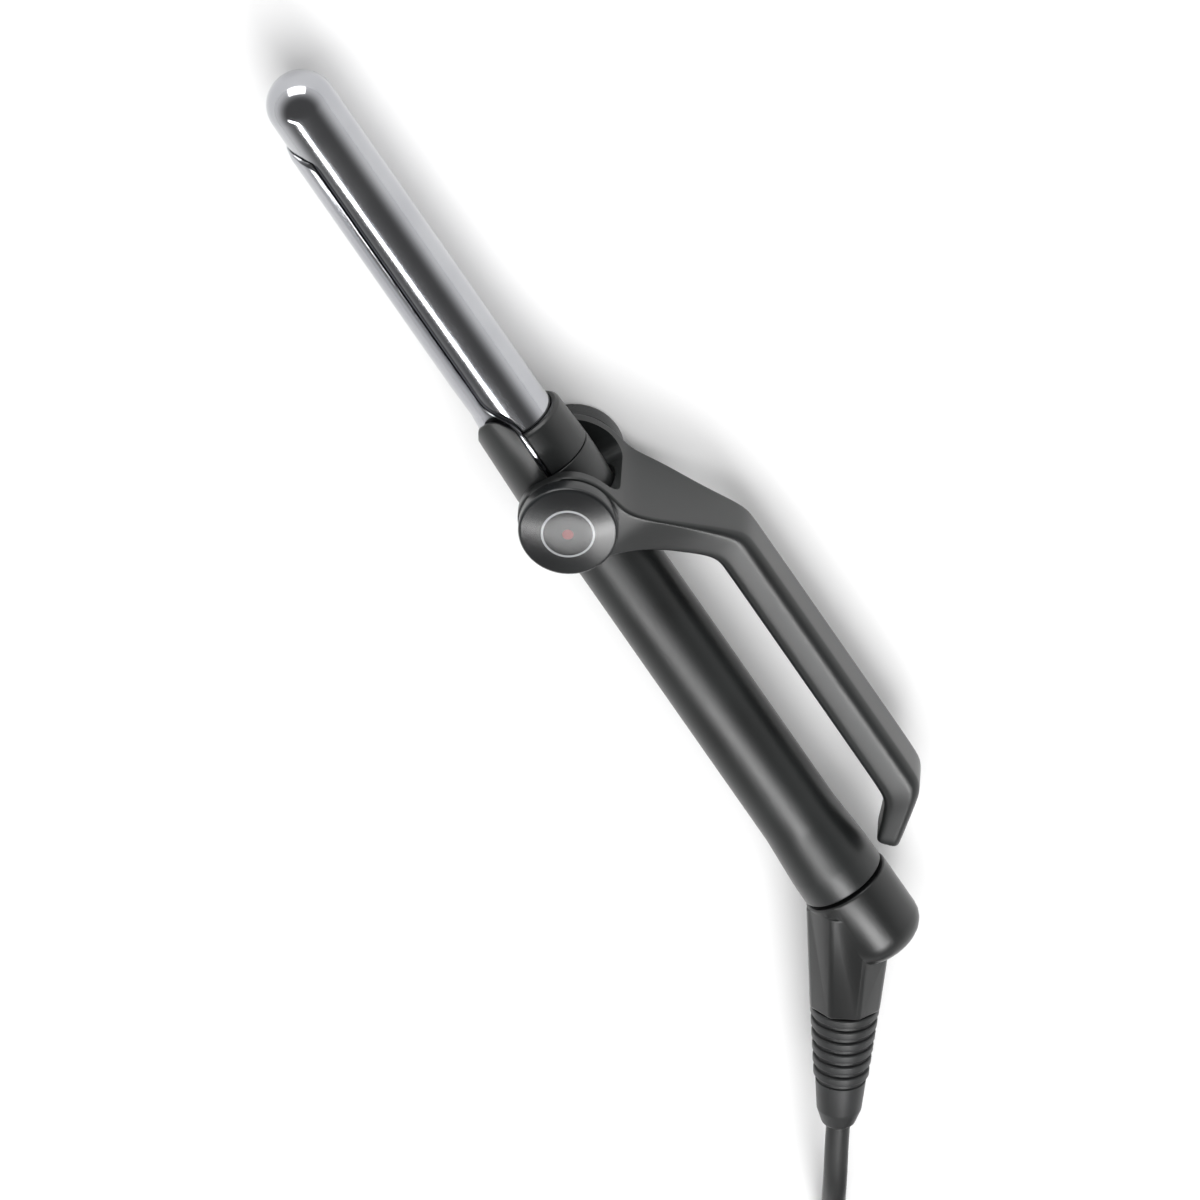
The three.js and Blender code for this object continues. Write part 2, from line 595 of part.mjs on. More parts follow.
// ---- pivot hardware, the same on both sides ----
const WASHER_THICKNESS = 0.4;
const washerBase = CAP_BASE + 2 * GAP;
const headBase = washerBase + WASHER_THICKNESS + GAP;
const HEAD_HEIGHT = 1.8;
const SOCKET_R = 1.6;
const INSERT_DEPTH = 4.2;
const CAP_CHAMFER = 1.2;
for (const [where, side] of [["upper", 1], ["lower", -1]]) {
  const shankEnd = BOSS_HEIGHT - INSERT_DEPTH;
  place(handle, `pivot_insert_${where}`, turnedZ([
    [SCREW_R + GAP, shankEnd], [INSERT_R, shankEnd],
    [INSERT_R, BOSS_HEIGHT - GAP], [SCREW_R + GAP, BOSS_HEIGHT - GAP], [SCREW_R + GAP, shankEnd],
  ], side), BRASS);
  place(lever, `pivot_bush_${where}`, turnedZ([
    [SCREW_R + GAP, CHEEK_INNER], [BUSH_R, CHEEK_INNER],
    [BUSH_R, CAP_BASE], [SCREW_R + GAP, CAP_BASE], [SCREW_R + GAP, CHEEK_INNER],
  ], side), BRASS);
  place(lever, `pivot_washer_${where}`, turnedZ([
    [SCREW_R + GAP, washerBase], [SCREW_HEAD_R, washerBase],
    [SCREW_HEAD_R, washerBase + WASHER_THICKNESS], [SCREW_R + GAP, washerBase + WASHER_THICKNESS],
    [SCREW_R + GAP, washerBase],
  ], side), STEEL);
  place(handle, `pivot_screw_${where}`, turnedZ([
    [0, shankEnd], [SCREW_R, shankEnd], [SCREW_R, headBase], [SCREW_HEAD_R, headBase],
    [SCREW_HEAD_R, headBase + HEAD_HEIGHT], [SOCKET_R, headBase + HEAD_HEIGHT],
    [SOCKET_R, headBase + 0.6], [0, headBase + 0.6],
  ], side), STEEL);
  place(lever, `pivot_cap_${where}`, turnedZ([
    [0, CAP_FACE - CAP_WALL], [CAP_R - CAP_WALL, CAP_FACE - CAP_WALL],
    [CAP_R - CAP_WALL, CAP_BASE], [CAP_R, CAP_BASE], [CAP_R, CAP_FACE - CAP_CHAMFER],
    [CAP_R - CAP_CHAMFER, CAP_FACE], [0, CAP_FACE],
  ], side, SIDES), BLACK_PLASTIC);
}

// ---- cord, coil, tie and plug, on the surface the iron lies on ----
const COIL_CENTRE = [310.2, -56.5];
const COIL_MEAN_R = 35.75;
const COIL_HALF_WIDTH = 13; // two pitches either side of the middle
const COIL_HEIGHT = 4 * CORD_D;
const COIL_LIFT = 1.2; // the tie passes under the coil
const CORD_SIDES = 10;

function cordTube(points, steps) {
  const path = new THREE.CatmullRomCurve3(points.map((p) => new THREE.Vector3(...p)));
  const section = new THREE.Shape(Array.from({ length: CORD_SIDES }, (_, i) => {
    const turn = (2 * Math.PI * i) / CORD_SIDES;
    return new THREE.Vector2(Math.cos(turn), Math.sin(turn)).multiplyScalar(CORD_D / 2);
  }));
  return solidOf(new THREE.ExtrudeGeometry(section, { extrudePath: path, steps }));
}

const CORD_ROUTE = [
  [206.0, -41.1, 23.3],
  [212.6, -45.6, 23.2],
  [219.3, -50.0, 22.3],
  [225.9, -54.5, 19.5],
  [232.9, -59.3, 13.3],
  [240.0, -64.0, 7.2],
  [246.6, -68.5, 4.3],
  [253.3, -73.0, 3.5],
  [259.1, -76.9, 3.6],
  [264.3, -80.4, 3.8],
];
place(cordSet, "power_cord", cordTube(CORD_ROUTE, 12), BLACK_RUBBER);

const coilInner = COIL_MEAN_R - COIL_HALF_WIDTH;
const coilOuter = COIL_MEAN_R + COIL_HALF_WIDTH;
const coilTop = COIL_LIFT + COIL_HEIGHT;
place(cordSet, "cord_coil", solidOf(turned([
  [coilInner, COIL_LIFT], [coilOuter, COIL_LIFT], [coilOuter, coilTop],
  [coilInner, coilTop], [coilInner, COIL_LIFT],
], SIDES).rotateX(Math.PI / 2).translate(...COIL_CENTRE, 0)), BLACK_RUBBER);

const TIE_WIDTH = 12;
const TIE_THICKNESS = 0.9;
const TIE_ANGLE = THREE.MathUtils.degToRad(60);
const TIE_SLACK = 1.1; // the coil's round sides stand in from the straight loop by this
function tieBox(r0, r1, z0, z1, width) {
  return new THREE.BoxGeometry(r1 - r0, width, z1 - z0)
    .translate((r0 + r1) / 2, 0, (z0 + z1) / 2)
    .rotateZ(TIE_ANGLE)
    .translate(...COIL_CENTRE, 0);
}
const tieHole = [coilInner - TIE_SLACK, coilOuter + GAP, TIE_THICKNESS, coilTop + GAP];
const tieOuter = [
  tieHole[0] - TIE_THICKNESS, tieHole[1] + TIE_THICKNESS, 0, tieHole[3] + TIE_THICKNESS,
];
place(
  cordSet,
  "coil_tie",
  solidOf(tieBox(...tieOuter, TIE_WIDTH)).subtract(solidOf(tieBox(...tieHole, 2 * TIE_WIDTH))),
  BLACK_RUBBER,
);

// The tail bends in over the coil's top and ends in the plug, which lies there on the tie.
const PLUG_THICKNESS = 13.7;
const PLUG_BASE = tieOuter[3] + GAP;
const TAIL_BEND_R = 28;
const TAIL_START = THREE.MathUtils.degToRad(-60);
const TAIL_SWEEP = THREE.MathUtils.degToRad(120);
const TAIL_BASE = coilTop + CORD_D / 2 + 0.75;
const TAIL_POINTS = 9;
const tailRoute = Array.from({ length: TAIL_POINTS }, (_, i) => {
  const share = i / (TAIL_POINTS - 1);
  const rise = share * share * (3 - 2 * share);
  const turn = TAIL_START + share * TAIL_SWEEP;
  const setIn = coilOuter - CORD_D / 2 - TAIL_BEND_R;
  return [
    COIL_CENTRE[0] + setIn * Math.cos(TAIL_START) + TAIL_BEND_R * Math.cos(turn),
    COIL_CENTRE[1] + setIn * Math.sin(TAIL_START) + TAIL_BEND_R * Math.sin(turn),
    TAIL_BASE + rise * (PLUG_BASE + PLUG_THICKNESS / 2 - TAIL_BASE),
  ];
});
place(cordSet, "cord_tail", cordTube(tailRoute, 14), BLACK_RUBBER);

const PLUG_ANGLE = TAIL_START + TAIL_SWEEP + Math.PI / 2;
const PLUG_LENGTH = 36;
const PLUG_HALF_WIDTH = 17.6;
const PLUG_NECK_HALF_WIDTH = 6;
const PIN_R = 2;
const PIN_LENGTH = 19;
const PIN_SPACING = 18.6;
const plugPlace = (geometry) =>
  solidOf(geometry.rotateZ(PLUG_ANGLE).translate(tailRoute.at(-1)[0], tailRoute.at(-1)[1], PLUG_BASE));
const plugCorners = [
  [3 * GAP, -PLUG_NECK_HALF_WIDTH, 2],
  [12, -PLUG_NECK_HALF_WIDTH - 1, 6],
  [PLUG_LENGTH - 12, -PLUG_HALF_WIDTH, 4],
  [PLUG_LENGTH, -PLUG_HALF_WIDTH, 2],
];
const mirrored = plugCorners.map(([x, y, fillet]) => [x, -y, fillet]).reverse();
place(cordSet, "plug_body", plugPlace(extruded([...plugCorners, ...mirrored], PLUG_THICKNESS)),
  BLACK_PLASTIC);
for (const [name, side] of [["plug_pin_left", 1], ["plug_pin_right", -1]]) {
  const pin = new THREE.CylinderGeometry(PIN_R, PIN_R, PIN_LENGTH, SMALL_SIDES)
    .rotateZ(-Math.PI / 2)
    .translate(PLUG_LENGTH + GAP + PIN_LENGTH / 2, (side * PIN_SPACING) / 2, PLUG_THICKNESS / 2);
  place(cordSet, name, plugPlace(pin), STEEL);
}

export default iron;
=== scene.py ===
# %% [markdown]
# # A scissor-lever curling iron
# The iron lies on a table on the round cap of its pivot. The CAD model already holds every
# piece. This file keeps the inner pieces, gives the outer ones the rounding and surface of
# real mouldings, winds the cord, and lights the whole in a small studio.

# %% The fixed frame
import json
import math

import bpy
from mathutils import Matrix, Vector


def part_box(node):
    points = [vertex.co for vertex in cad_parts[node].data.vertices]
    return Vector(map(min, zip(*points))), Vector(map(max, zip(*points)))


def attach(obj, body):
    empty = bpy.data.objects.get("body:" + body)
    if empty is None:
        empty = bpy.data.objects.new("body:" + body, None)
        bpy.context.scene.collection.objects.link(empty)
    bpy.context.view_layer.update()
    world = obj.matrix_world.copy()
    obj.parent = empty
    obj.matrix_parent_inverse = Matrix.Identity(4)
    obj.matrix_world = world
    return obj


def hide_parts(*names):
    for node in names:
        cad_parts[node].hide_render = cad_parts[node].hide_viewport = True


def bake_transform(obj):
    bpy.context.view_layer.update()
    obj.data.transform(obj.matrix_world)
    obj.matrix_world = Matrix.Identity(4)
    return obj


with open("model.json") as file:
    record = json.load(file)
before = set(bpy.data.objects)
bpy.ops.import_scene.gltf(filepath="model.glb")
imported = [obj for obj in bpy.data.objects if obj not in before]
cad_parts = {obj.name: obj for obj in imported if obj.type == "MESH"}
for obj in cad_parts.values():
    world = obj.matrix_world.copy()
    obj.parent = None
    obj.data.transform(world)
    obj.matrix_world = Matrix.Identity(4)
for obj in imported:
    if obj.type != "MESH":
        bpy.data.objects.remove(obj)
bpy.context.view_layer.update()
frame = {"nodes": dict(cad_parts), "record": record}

# %% [markdown]
# ## Sizes
# The model is in metres and a maker thinks in millimetres, so `MM` turns one into the other.
# The axis, the barrel and the plug's height are read from the CAD pieces' own boxes. Other
# sizes are written here as the CAD model has them.

# %% Sizes read from the frame
MM = 0.001


def middle(node):
    low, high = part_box(node)
    return (low + high) / 2


AXIS_Z = middle("handle_tube").z
NOSE_ANGLE = math.radians(34)
NOSE_APEX = Vector((145 * MM, 0, AXIS_Z))
PIVOT = Vector((0, 0, AXIS_Z))
print("the iron's axis is", round(AXIS_Z / MM, 2), "mm over the table")

# %% [markdown]
# ## The camera
# A long lens from far away keeps the iron's sides parallel, as in a catalogue picture. The
# camera looks down on the iron from its barrel end, and is rolled so that the tip is on top.

# %% Camera
TARGET = Vector((31.5, -10.0, 26.7)) * MM
TOWARDS_CAMERA = Vector((-0.4226, 0.2951, 0.8569)).normalized()
PICTURE_RIGHT = Vector((0.5199, 0.8534, -0.0375)).normalized()
CAMERA_DISTANCE = 9.0
FRAME_WIDTH = 0.3211
SENSOR_WIDTH = 36


def camera_turn():
    right = PICTURE_RIGHT
    up = TOWARDS_CAMERA.cross(right)
    return Matrix((right, up, TOWARDS_CAMERA)).transposed().to_4x4()


bpy.ops.object.camera_add()
camera = bpy.context.object
camera_place = TARGET + TOWARDS_CAMERA * CAMERA_DISTANCE
camera.matrix_world = Matrix.Translation(camera_place) @ camera_turn()
camera.data.sensor_width = SENSOR_WIDTH
camera.data.lens = SENSOR_WIDTH * CAMERA_DISTANCE / FRAME_WIDTH
bpy.context.scene.camera = camera
bpy.context.scene.view_settings.view_transform = "Standard"
print("lens", round(camera.data.lens), "mm")

# %% [markdown]
# ## Helpers
# An operator works on whatever is selected, so each one below starts by selecting one piece.
# Outlines are corner lists, and each corner may carry the radius that rounds it off.

# %% Selecting, editing and applying
ARC_STEPS = 6
TURN_STEPS = 96
SMALL_TURN_STEPS = 48


def only(piece):
    bpy.ops.object.select_all(action="DESELECT")
    piece.select_set(True)
    bpy.context.view_layer.objects.active = piece


def new_piece(name, points, edges=(), faces=()):
    mesh = bpy.data.meshes.new(name)
    mesh.from_pydata([tuple(p) for p in points], list(edges), list(faces))
    piece = bpy.data.objects.new(name, mesh)
    bpy.context.scene.collection.objects.link(piece)
    only(piece)
    return piece


def clean(piece):
    only(piece)
    bpy.ops.object.mode_set(mode="EDIT")
    bpy.ops.mesh.select_all(action="SELECT")
    bpy.ops.mesh.remove_doubles(threshold=2e-6)
    bpy.ops.mesh.normals_make_consistent(inside=False)
    bpy.ops.object.mode_set(mode="OBJECT")
    return piece


def modify(piece, kind, **settings):
    only(piece)
    modifier = piece.modifiers.new(kind.title(), kind)
    for setting, value in settings.items():
        setattr(modifier, setting, value)
    bpy.ops.object.modifier_apply(modifier=modifier.name)
    return piece


def join_or_cut(piece, tool, operation="DIFFERENCE"):
    modify(piece, "BOOLEAN", object=tool, operation=operation, solver="EXACT")
    bpy.data.objects.remove(tool)
    return piece


def ease_edges(piece, width, segments=3, sharper_than=38):
    modify(
        piece,
        "BEVEL",
        width=width * MM,
        segments=segments,
        limit_method="ANGLE",
        angle_limit=math.radians(sharper_than),
        miter_outer="MITER_ARC",
    )
    return piece


def smooth(piece, angle=40):
    only(piece)
    bpy.ops.object.shade_smooth_by_angle(angle=math.radians(angle))
    return piece


# %% Rounded outlines
def softened(corners, closed=True):
    """Corners are (x, y) or (x, y, radius); the rounded ones become arcs."""
    count = len(corners)
    outline = []
    for i, (x, y, *radius) in enumerate(corners):
        here = Vector((x, y))
        inside = closed or 0 < i < count - 1
        if not radius or not inside:
            outline.append(here)
            continue
        back = Vector(corners[i - 1][:2]) - here
        ahead = Vector(corners[(i + 1) % count][:2]) - here
        half = back.angle(ahead) / 2
        shared = [0.5 if len(corners[n % count]) > 2 else 1 for n in (i - 1, i + 1)]
        room = min(shared[0] * back.length, shared[1] * ahead.length)
        reach = min(radius[0] / math.tan(half), 0.999 * room)
        arc = reach * math.tan(half)
        bisector = (back.normalized() + ahead.normalized()).normalized()
        centre = here + bisector * (arc / math.sin(half))
        start = here + back.normalized() * reach - centre
        end = here + ahead.normalized() * reach - centre
        sweep = start.angle_signed(end)
        for step in range(ARC_STEPS + 1):
            turn = Matrix.Rotation(-sweep * step / ARC_STEPS, 2)
            outline.append(centre + turn @ start)
    return outline


# %% Turning on a lathe
def spun(name, points, centre, axis, closed, steps=TURN_STEPS, angle=2 * math.pi):
    edges = [(i, i + 1) for i in range(len(points) - 1)]
    if closed:
        edges.append((len(points) - 1, 0))
    piece = new_piece(name, points, edges)
    bpy.ops.object.mode_set(mode="EDIT")
    bpy.ops.mesh.select_all(action="SELECT")
    bpy.ops.mesh.spin(steps=steps, angle=angle, center=centre, axis=axis)
    bpy.ops.object.mode_set(mode="OBJECT")
    return clean(piece)


def turned_on_iron(name, corners, closed=True, steps=TURN_STEPS):
    """Corners are (x, radius) in millimetres about the iron's axis."""
    profile = softened(corners, closed)
    points = [(x * MM, 0, AXIS_Z + r * MM) for x, r in profile]
    return spun(name, points, PIVOT, (1, 0, 0), closed, steps)


def turned_on_pivot(name, corners, side=1, closed=True, steps=TURN_STEPS):
    """Corners are (radius, height over the iron's axis) in millimetres about the pivot."""
    profile = softened(corners, closed)
    points = [(r * MM, 0, AXIS_Z + side * h * MM) for r, h in profile]
    return spun(name, points, PIVOT, (0, 0, 1), closed, steps)


def turned_on_nose(name, corners, closed=False, steps=TURN_STEPS):
    """Corners are (distance from the apex, radius) along the cord outlet."""
    along = Vector((math.cos(NOSE_ANGLE), -math.sin(NOSE_ANGLE), 0))
    profile = softened(corners, closed)
    points = [NOSE_APEX + along * (x * MM) + Vector((0, 0, r * MM)) for x, r in profile]
    return spun(name, points, NOSE_APEX, along, closed, steps)


# %% Cutting from sheet
def slab(name, corners, plane, start, end):
    """An outline in "xy" or "xz", in millimetres, drawn out along the third direction."""
    outline = softened(corners)
    if plane == "xy":
        points = [(x * MM, y * MM, AXIS_Z + start * MM) for x, y in outline]
        reach = (0, 0, (end - start) * MM)
    else:
        points = [(x * MM, start * MM, AXIS_Z + z * MM) for x, z in outline]
        reach = (0, (end - start) * MM, 0)
    piece = new_piece(name, points, faces=[range(len(points))])
    bpy.ops.object.mode_set(mode="EDIT")
    bpy.ops.mesh.select_all(action="SELECT")
    bpy.ops.mesh.extrude_region_move(TRANSFORM_OT_translate={"value": reach})
    bpy.ops.object.mode_set(mode="OBJECT")
    return clean(piece)


def block(name, low, high):
    """A box between two corners in millimetres, counted from the iron's axis."""
    corners = [(low[0], low[1]), (high[0], low[1]), (high[0], high[1]), (low[0], high[1])]
    return slab(name, corners, "xy", low[2], high[2])


def rod(name, radius, start, end, steps=SMALL_TURN_STEPS):
    """A cylinder between two points in metres."""
    along = end - start
    bpy.ops.object.select_all(action="DESELECT")
    bpy.ops.mesh.primitive_cylinder_add(vertices=steps, radius=radius * MM, depth=along.length)
    piece = bpy.context.object
    piece.name = name
    turn = along.to_track_quat("Z", "Y").to_matrix().to_4x4()
    piece.matrix_world = Matrix.Translation((start + end) / 2) @ turn
    bpy.ops.object.transform_apply(location=True, rotation=True, scale=True)
    return piece


def on_axis(x, y=0, z=0):
    return Vector((x * MM, y * MM, AXIS_Z + z * MM))


print("helpers ready")

# %% [markdown]
# ## Materials
# Each finish is a small network: a base, then the detail that the way it was made leaves.
# `add` places one node, in a material or in the world, with its settings and links. Patterns
# read Object coordinates, in metres, so `per_mm` gives a noise scale from a grain's real size.

# %% Material helpers
def linear(hex_colour):
    channels = [int(hex_colour[i:i + 2], 16) / 255 for i in (1, 3, 5)]
    curve = [c / 12.92 if c <= 0.04045 else ((c + 0.055) / 1.055) ** 2.4 for c in channels]
    return (*curve, 1)


def per_mm(size):
    return 1 / (size * MM)


def add(owner, kind, settings=(), links=()):
    """Adds a node. Settings are values of attributes or inputs; links go into its inputs."""
    node = owner.node_tree.nodes.new(kind)
    for key, value in dict(settings).items():
        if key in node.inputs:
            node.inputs[key].default_value = value
        else:
            setattr(node, key, value)
    for key, source in dict(links).items():
        owner.node_tree.links.new(source, node.inputs[key])
    return node


def start_material(name, settings):
    material = bpy.data.materials.new(name)
    material.use_nodes = True
    shader = material.node_tree.nodes["Principled BSDF"]
    for key, value in settings.items():
        shader.inputs[key].default_value = value
    return material, shader


def tie(material, source, shader, socket):
    material.node_tree.links.new(source, shader.inputs[socket])


def spread(material, source, low, high):
    """Turns a 0 to 1 pattern into values between low and high."""
    node = add(material, "ShaderNodeMapRange", {"To Min": low, "To Max": high}, {"Value": source})
    return node.outputs["Result"]


def two_tones(material, source, dark, light, start=0.35, end=0.65):
    ramp = add(material, "ShaderNodeValToRGB", {}, {"Fac": source})
    ramp.color_ramp.elements[0].position = start
    ramp.color_ramp.elements[0].color = linear(dark)
    ramp.color_ramp.elements[1].position = end
    ramp.color_ramp.elements[1].color = linear(light)
    return ramp.outputs["Color"]


def grain(material, size, detail=3, stretch=(1, 1, 1)):
    coords = add(material, "ShaderNodeTexCoord")
    place = coords.outputs["Object"]
    mapping = add(material, "ShaderNodeMapping", {"Scale": stretch}, {"Vector": place})
    noise = add(
        material,
        "ShaderNodeTexNoise",
        {"Scale": per_mm(size), "Detail": detail},
        {"Vector": mapping.outputs["Vector"]},
    )
    return noise.outputs["Fac"]


def bumped(material, shader, source, height, strength=0.5):
    bump = add(
        material,
        "ShaderNodeBump",
        {"Distance": height * MM, "Strength": strength},
        {"Height": source},
    )
    tie(material, bump.outputs["Normal"], shader, "Normal")


print("material helpers ready")

# %% [markdown]
# ### Black chrome on the barrel and the clip
# The heated tube is steel with a dark chrome plate, buffed round and round on a wheel. It
# shows the room as a dark mirror, a little blurred by hairline scratches and finger film.

# %% Dark chrome plate
def dark_chrome_plate(name, dark, light, roughness):
    material, shader = start_material(name, {"Metallic": 1.0})
    film = grain(material, 22, 4)
    hairlines = grain(material, 0.5, 2, (0.02, 1, 1))
    tie(material, two_tones(material, film, dark, light), shader, "Base Color")
    tie(material, spread(material, film, roughness, roughness + 0.05), shader, "Roughness")
    bumped(material, shader, hairlines, 0.003, 0.08)
    return material


BARREL_CHROME = dark_chrome_plate("dark_chrome_buffed_plate", "#aeafb3", "#b7b8bb", 0.09)
CLIP_CHROME = dark_chrome_plate("dark_chrome_rolled_strip", "#a4a5aa", "#aeafb3", 0.17)
print("made", BARREL_CHROME.name, CLIP_CHROME.name)

# %% [markdown]
# ### Satin nylon mouldings
# Handle, lever and caps are glass-filled nylon from spark-eroded moulds: a fine even grain
# that scatters light into a soft sheen, with slow patches where hands have polished it.

# %% Satin black nylon
def satin_nylon(name, dark, light, roughness, pit=0.35):
    material, shader = start_material(name, {"IOR": 1.5, "Coat Weight": 0.0})
    handling = grain(material, 30, 3)
    pits = grain(material, pit, 2)
    tie(material, two_tones(material, handling, dark, light), shader, "Base Color")
    tie(material, spread(material, handling, roughness - 0.05, roughness + 0.07), shader, "Roughness")
    bumped(material, shader, pits, 0.02, 0.35)
    return material


BODY_NYLON = satin_nylon("satin_black_glass_filled_nylon", "#161717", "#1e2020", 0.34)
OUTLET_NYLON = satin_nylon("satin_black_nylon_outlet", "#131414", "#1b1c1c", 0.32, 0.4)
CAP_NYLON = satin_nylon("fine_satin_black_nylon_cap", "#151617", "#1d1f20", 0.26, 0.3)

# %% [markdown]
# The upper cap carries a plain printed ring with a dot, drawn by its distance from the pivot's
# axis. The ink is a flat colour over the satin ground.

# %% Printed ring
RING_FROM = 6.6
RING_TO = 7.2
DOT_TO = 1.5
PRINT_REACH = 13.4
RING_INK = "#9a9c9e"
DOT_INK = "#641a1c"


def with_printed_ring(material, reach):
    shader = material.node_tree.nodes["Principled BSDF"]
    ground = shader.inputs["Base Color"].links[0].from_socket
    coords = add(material, "ShaderNodeTexCoord")
    place = coords.outputs["Object"]
    flat = add(material, "ShaderNodeMapping", {"Scale": (1, 1, 0)}, {"Vector": place})
    flat_place = flat.outputs["Vector"]
    away = add(material, "ShaderNodeVectorMath", {"operation": "LENGTH"}, {"Vector": flat_place})
    distance = away.outputs["Value"]
    share = add(material, "ShaderNodeMapRange", {"From Max": reach * MM}, {"Value": distance})
    ink = add(material, "ShaderNodeValToRGB", {}, {"Fac": share.outputs["Result"]})
    ink.color_ramp.interpolation = "CONSTANT"
    marks = [(0, DOT_INK, 1), (DOT_TO, DOT_INK, 0), (RING_FROM, RING_INK, 1), (RING_TO, RING_INK, 0)]
    for i, (start, colour, cover) in enumerate(marks):
        is_there = i < len(ink.color_ramp.elements)
        element = ink.color_ramp.elements[i] if is_there else ink.color_ramp.elements.new(start / reach)
        element.position = start / reach
        element.color = (*linear(colour)[:3], cover)
    laid = add(
        material,
        "ShaderNodeMixRGB",
        {},
        {"Fac": ink.outputs["Alpha"], "Color1": ground, "Color2": ink.outputs["Color"]},
    )
    tie(material, laid.outputs["Color"], shader, "Base Color")
    return material


PRINTED_CAP = with_printed_ring(
    satin_nylon("fine_satin_black_nylon_printed_cap", "#151617", "#1d1f20", 0.26, 0.3),
    PRINT_REACH,
)
print("made", PRINTED_CAP.name)

# %% [markdown]
# ### Soft PVC of the cord
# The cord and its relief are extruded or moulded in soft PVC: duller than nylon, with faint
# lengthwise drag marks and a little bloom.

# %% Black PVC
def soft_pvc(name, dark, light, roughness):
    material, shader = start_material(name, {"IOR": 1.46, "Sheen Weight": 0.05})
    bloom = grain(material, 14, 4)
    skin = grain(material, 0.6, 3)
    tie(material, two_tones(material, bloom, dark, light), shader, "Base Color")
    tie(material, spread(material, bloom, roughness, roughness + 0.12), shader, "Roughness")
    bumped(material, shader, skin, 0.03, 0.4)
    return material


CORD_PVC = soft_pvc("black_extruded_pvc_cord", "#161717", "#1f2020", 0.44)
RELIEF_PVC = soft_pvc("black_moulded_pvc_relief", "#181919", "#222324", 0.4)
STRAP_PVC = soft_pvc("black_soft_strap", "#121313", "#1b1c1c", 0.6)


# %% [markdown]
# ### Inner metals and ceramics
# Turned steel and brass keep fine tool rings, so their bump is stretched along the cut. The
# ceramic is unglazed and chalky. Silicone leads have a soft rubbery skin.

# %% Inner finishes
def turned_metal(name, dark, light, roughness):
    material, shader = start_material(name, {"Metallic": 1.0})
    tarnish = grain(material, 4, 4)
    rings = grain(material, 0.25, 2, (1, 0.1, 1))
    tie(material, two_tones(material, tarnish, dark, light), shader, "Base Color")
    tie(material, spread(material, tarnish, roughness, roughness + 0.15), shader, "Roughness")
    bumped(material, shader, rings, 0.01, 0.3)
    return material


def chalky(name, dark, light, roughness, size):
    material, shader = start_material(name, {"IOR": 1.5})
    cloud = grain(material, size, 4)
    pores = grain(material, 0.2, 3)
    tie(material, two_tones(material, cloud, dark, light), shader, "Base Color")
    tie(material, spread(material, cloud, roughness, roughness + 0.15), shader, "Roughness")
    bumped(material, shader, pores, 0.02, 0.4)
    return material


FINISHES = {
    "steel": turned_metal("turned_stainless_steel", "#a5a7aa", "#bfc1c4", 0.25),
    "brass": turned_metal("turned_free_cutting_brass", "#a07f3f", "#bd9a55", 0.28),
    "aluminium": turned_metal("extruded_plain_aluminium", "#b3b5b7", "#cdcfd1", 0.4),
    "ceramic": chalky("unglazed_steatite_ceramic", "#ddd8cc", "#ece8df", 0.6, 6),
    "live_silicone": chalky("red_silicone_insulation", "#98302a", "#ab3a32", 0.5, 5),
    "neutral_silicone": chalky("blue_silicone_insulation", "#2a4778", "#35548a", 0.5, 5),
    "black_plastic": BODY_NYLON,
    "cord_rubber": CORD_PVC,
    "chrome": BARREL_CHROME,
}
for subpart in frame["record"]["subparts"]:
    mesh = frame["nodes"][subpart["node"]].data
    mesh.materials.clear()
    mesh.materials.append(FINISHES[subpart["material_slot"]])
print("dressed", len(frame["nodes"]), "CAD pieces")


# %% Handing a finished piece over
def hand_over(piece, body, node, material, smooth_angle=40):
    piece.data.materials.clear()
    piece.data.materials.append(material)
    smooth(piece, smooth_angle)
    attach(piece, body)
    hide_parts(node)
    print(piece.name, len(piece.data.polygons), "faces")
    return piece


# %% [markdown]
# ## The cord
# A mains cord is one smooth line of fixed length. It leaves the relief straight, sinks to
# the table, and what isn't needed is wound in twelve turns, four layers of three, held by a
# strap. The free stretch's points are listed, and the coil's turns come from a loop.

# %% The cord's route
CORD_D = 6.5 * MM
CORD_STEP = CORD_D * 0.75
TO_COIL = [
    (206.0, -41.1, 23.3), (212.6, -45.6, 23.2), (219.3, -50.0, 22.3), (225.9, -54.5, 19.5),
    (232.9, -59.3, 13.3), (240.0, -64.0, 7.2), (246.6, -68.5, 4.3), (253.3, -73.0, 3.5),
    (259.1, -76.9, 3.6), (264.3, -80.4, 3.8),
]
print("the free stretch has", len(TO_COIL), "points")


# %% [markdown]
# In each layer the cord winds three turns in or out, one diameter further each turn, and
# rises to the next layer over part of a turn. No stretch then meets its neighbours. A
# smooth spline through all the points gives the line, and a round section follows it.

# %% The coil's turns
COIL_CENTRE = Vector((310.2, -56.5, 0)) * MM
COIL_OUTER = 45.5 * MM
COIL_LIFT = 1.2 * MM
TURNS_PER_LAYER = 3
LAYERS = 4
POINTS_PER_TURN = 40
RISE_TURNS = 0.6
COIL_INNER = COIL_OUTER - TURNS_PER_LAYER * CORD_D
TAIL_ROOM = 0.75 * MM
TAIL_BEND = 28 * MM
TAIL_ANGLE = math.radians(-60)
TAIL_SWEEP = math.radians(120)
LIFT_POINTS = 8
BEND_POINTS = 14
PLUG_HEIGHT = middle("plug_body").z


def ease(t):
    t = min(max(t, 0), 1)
    return t * t * (3 - 2 * t)


def around(radius, angle, height):
    return Vector((radius * math.cos(angle), radius * math.sin(angle), height))


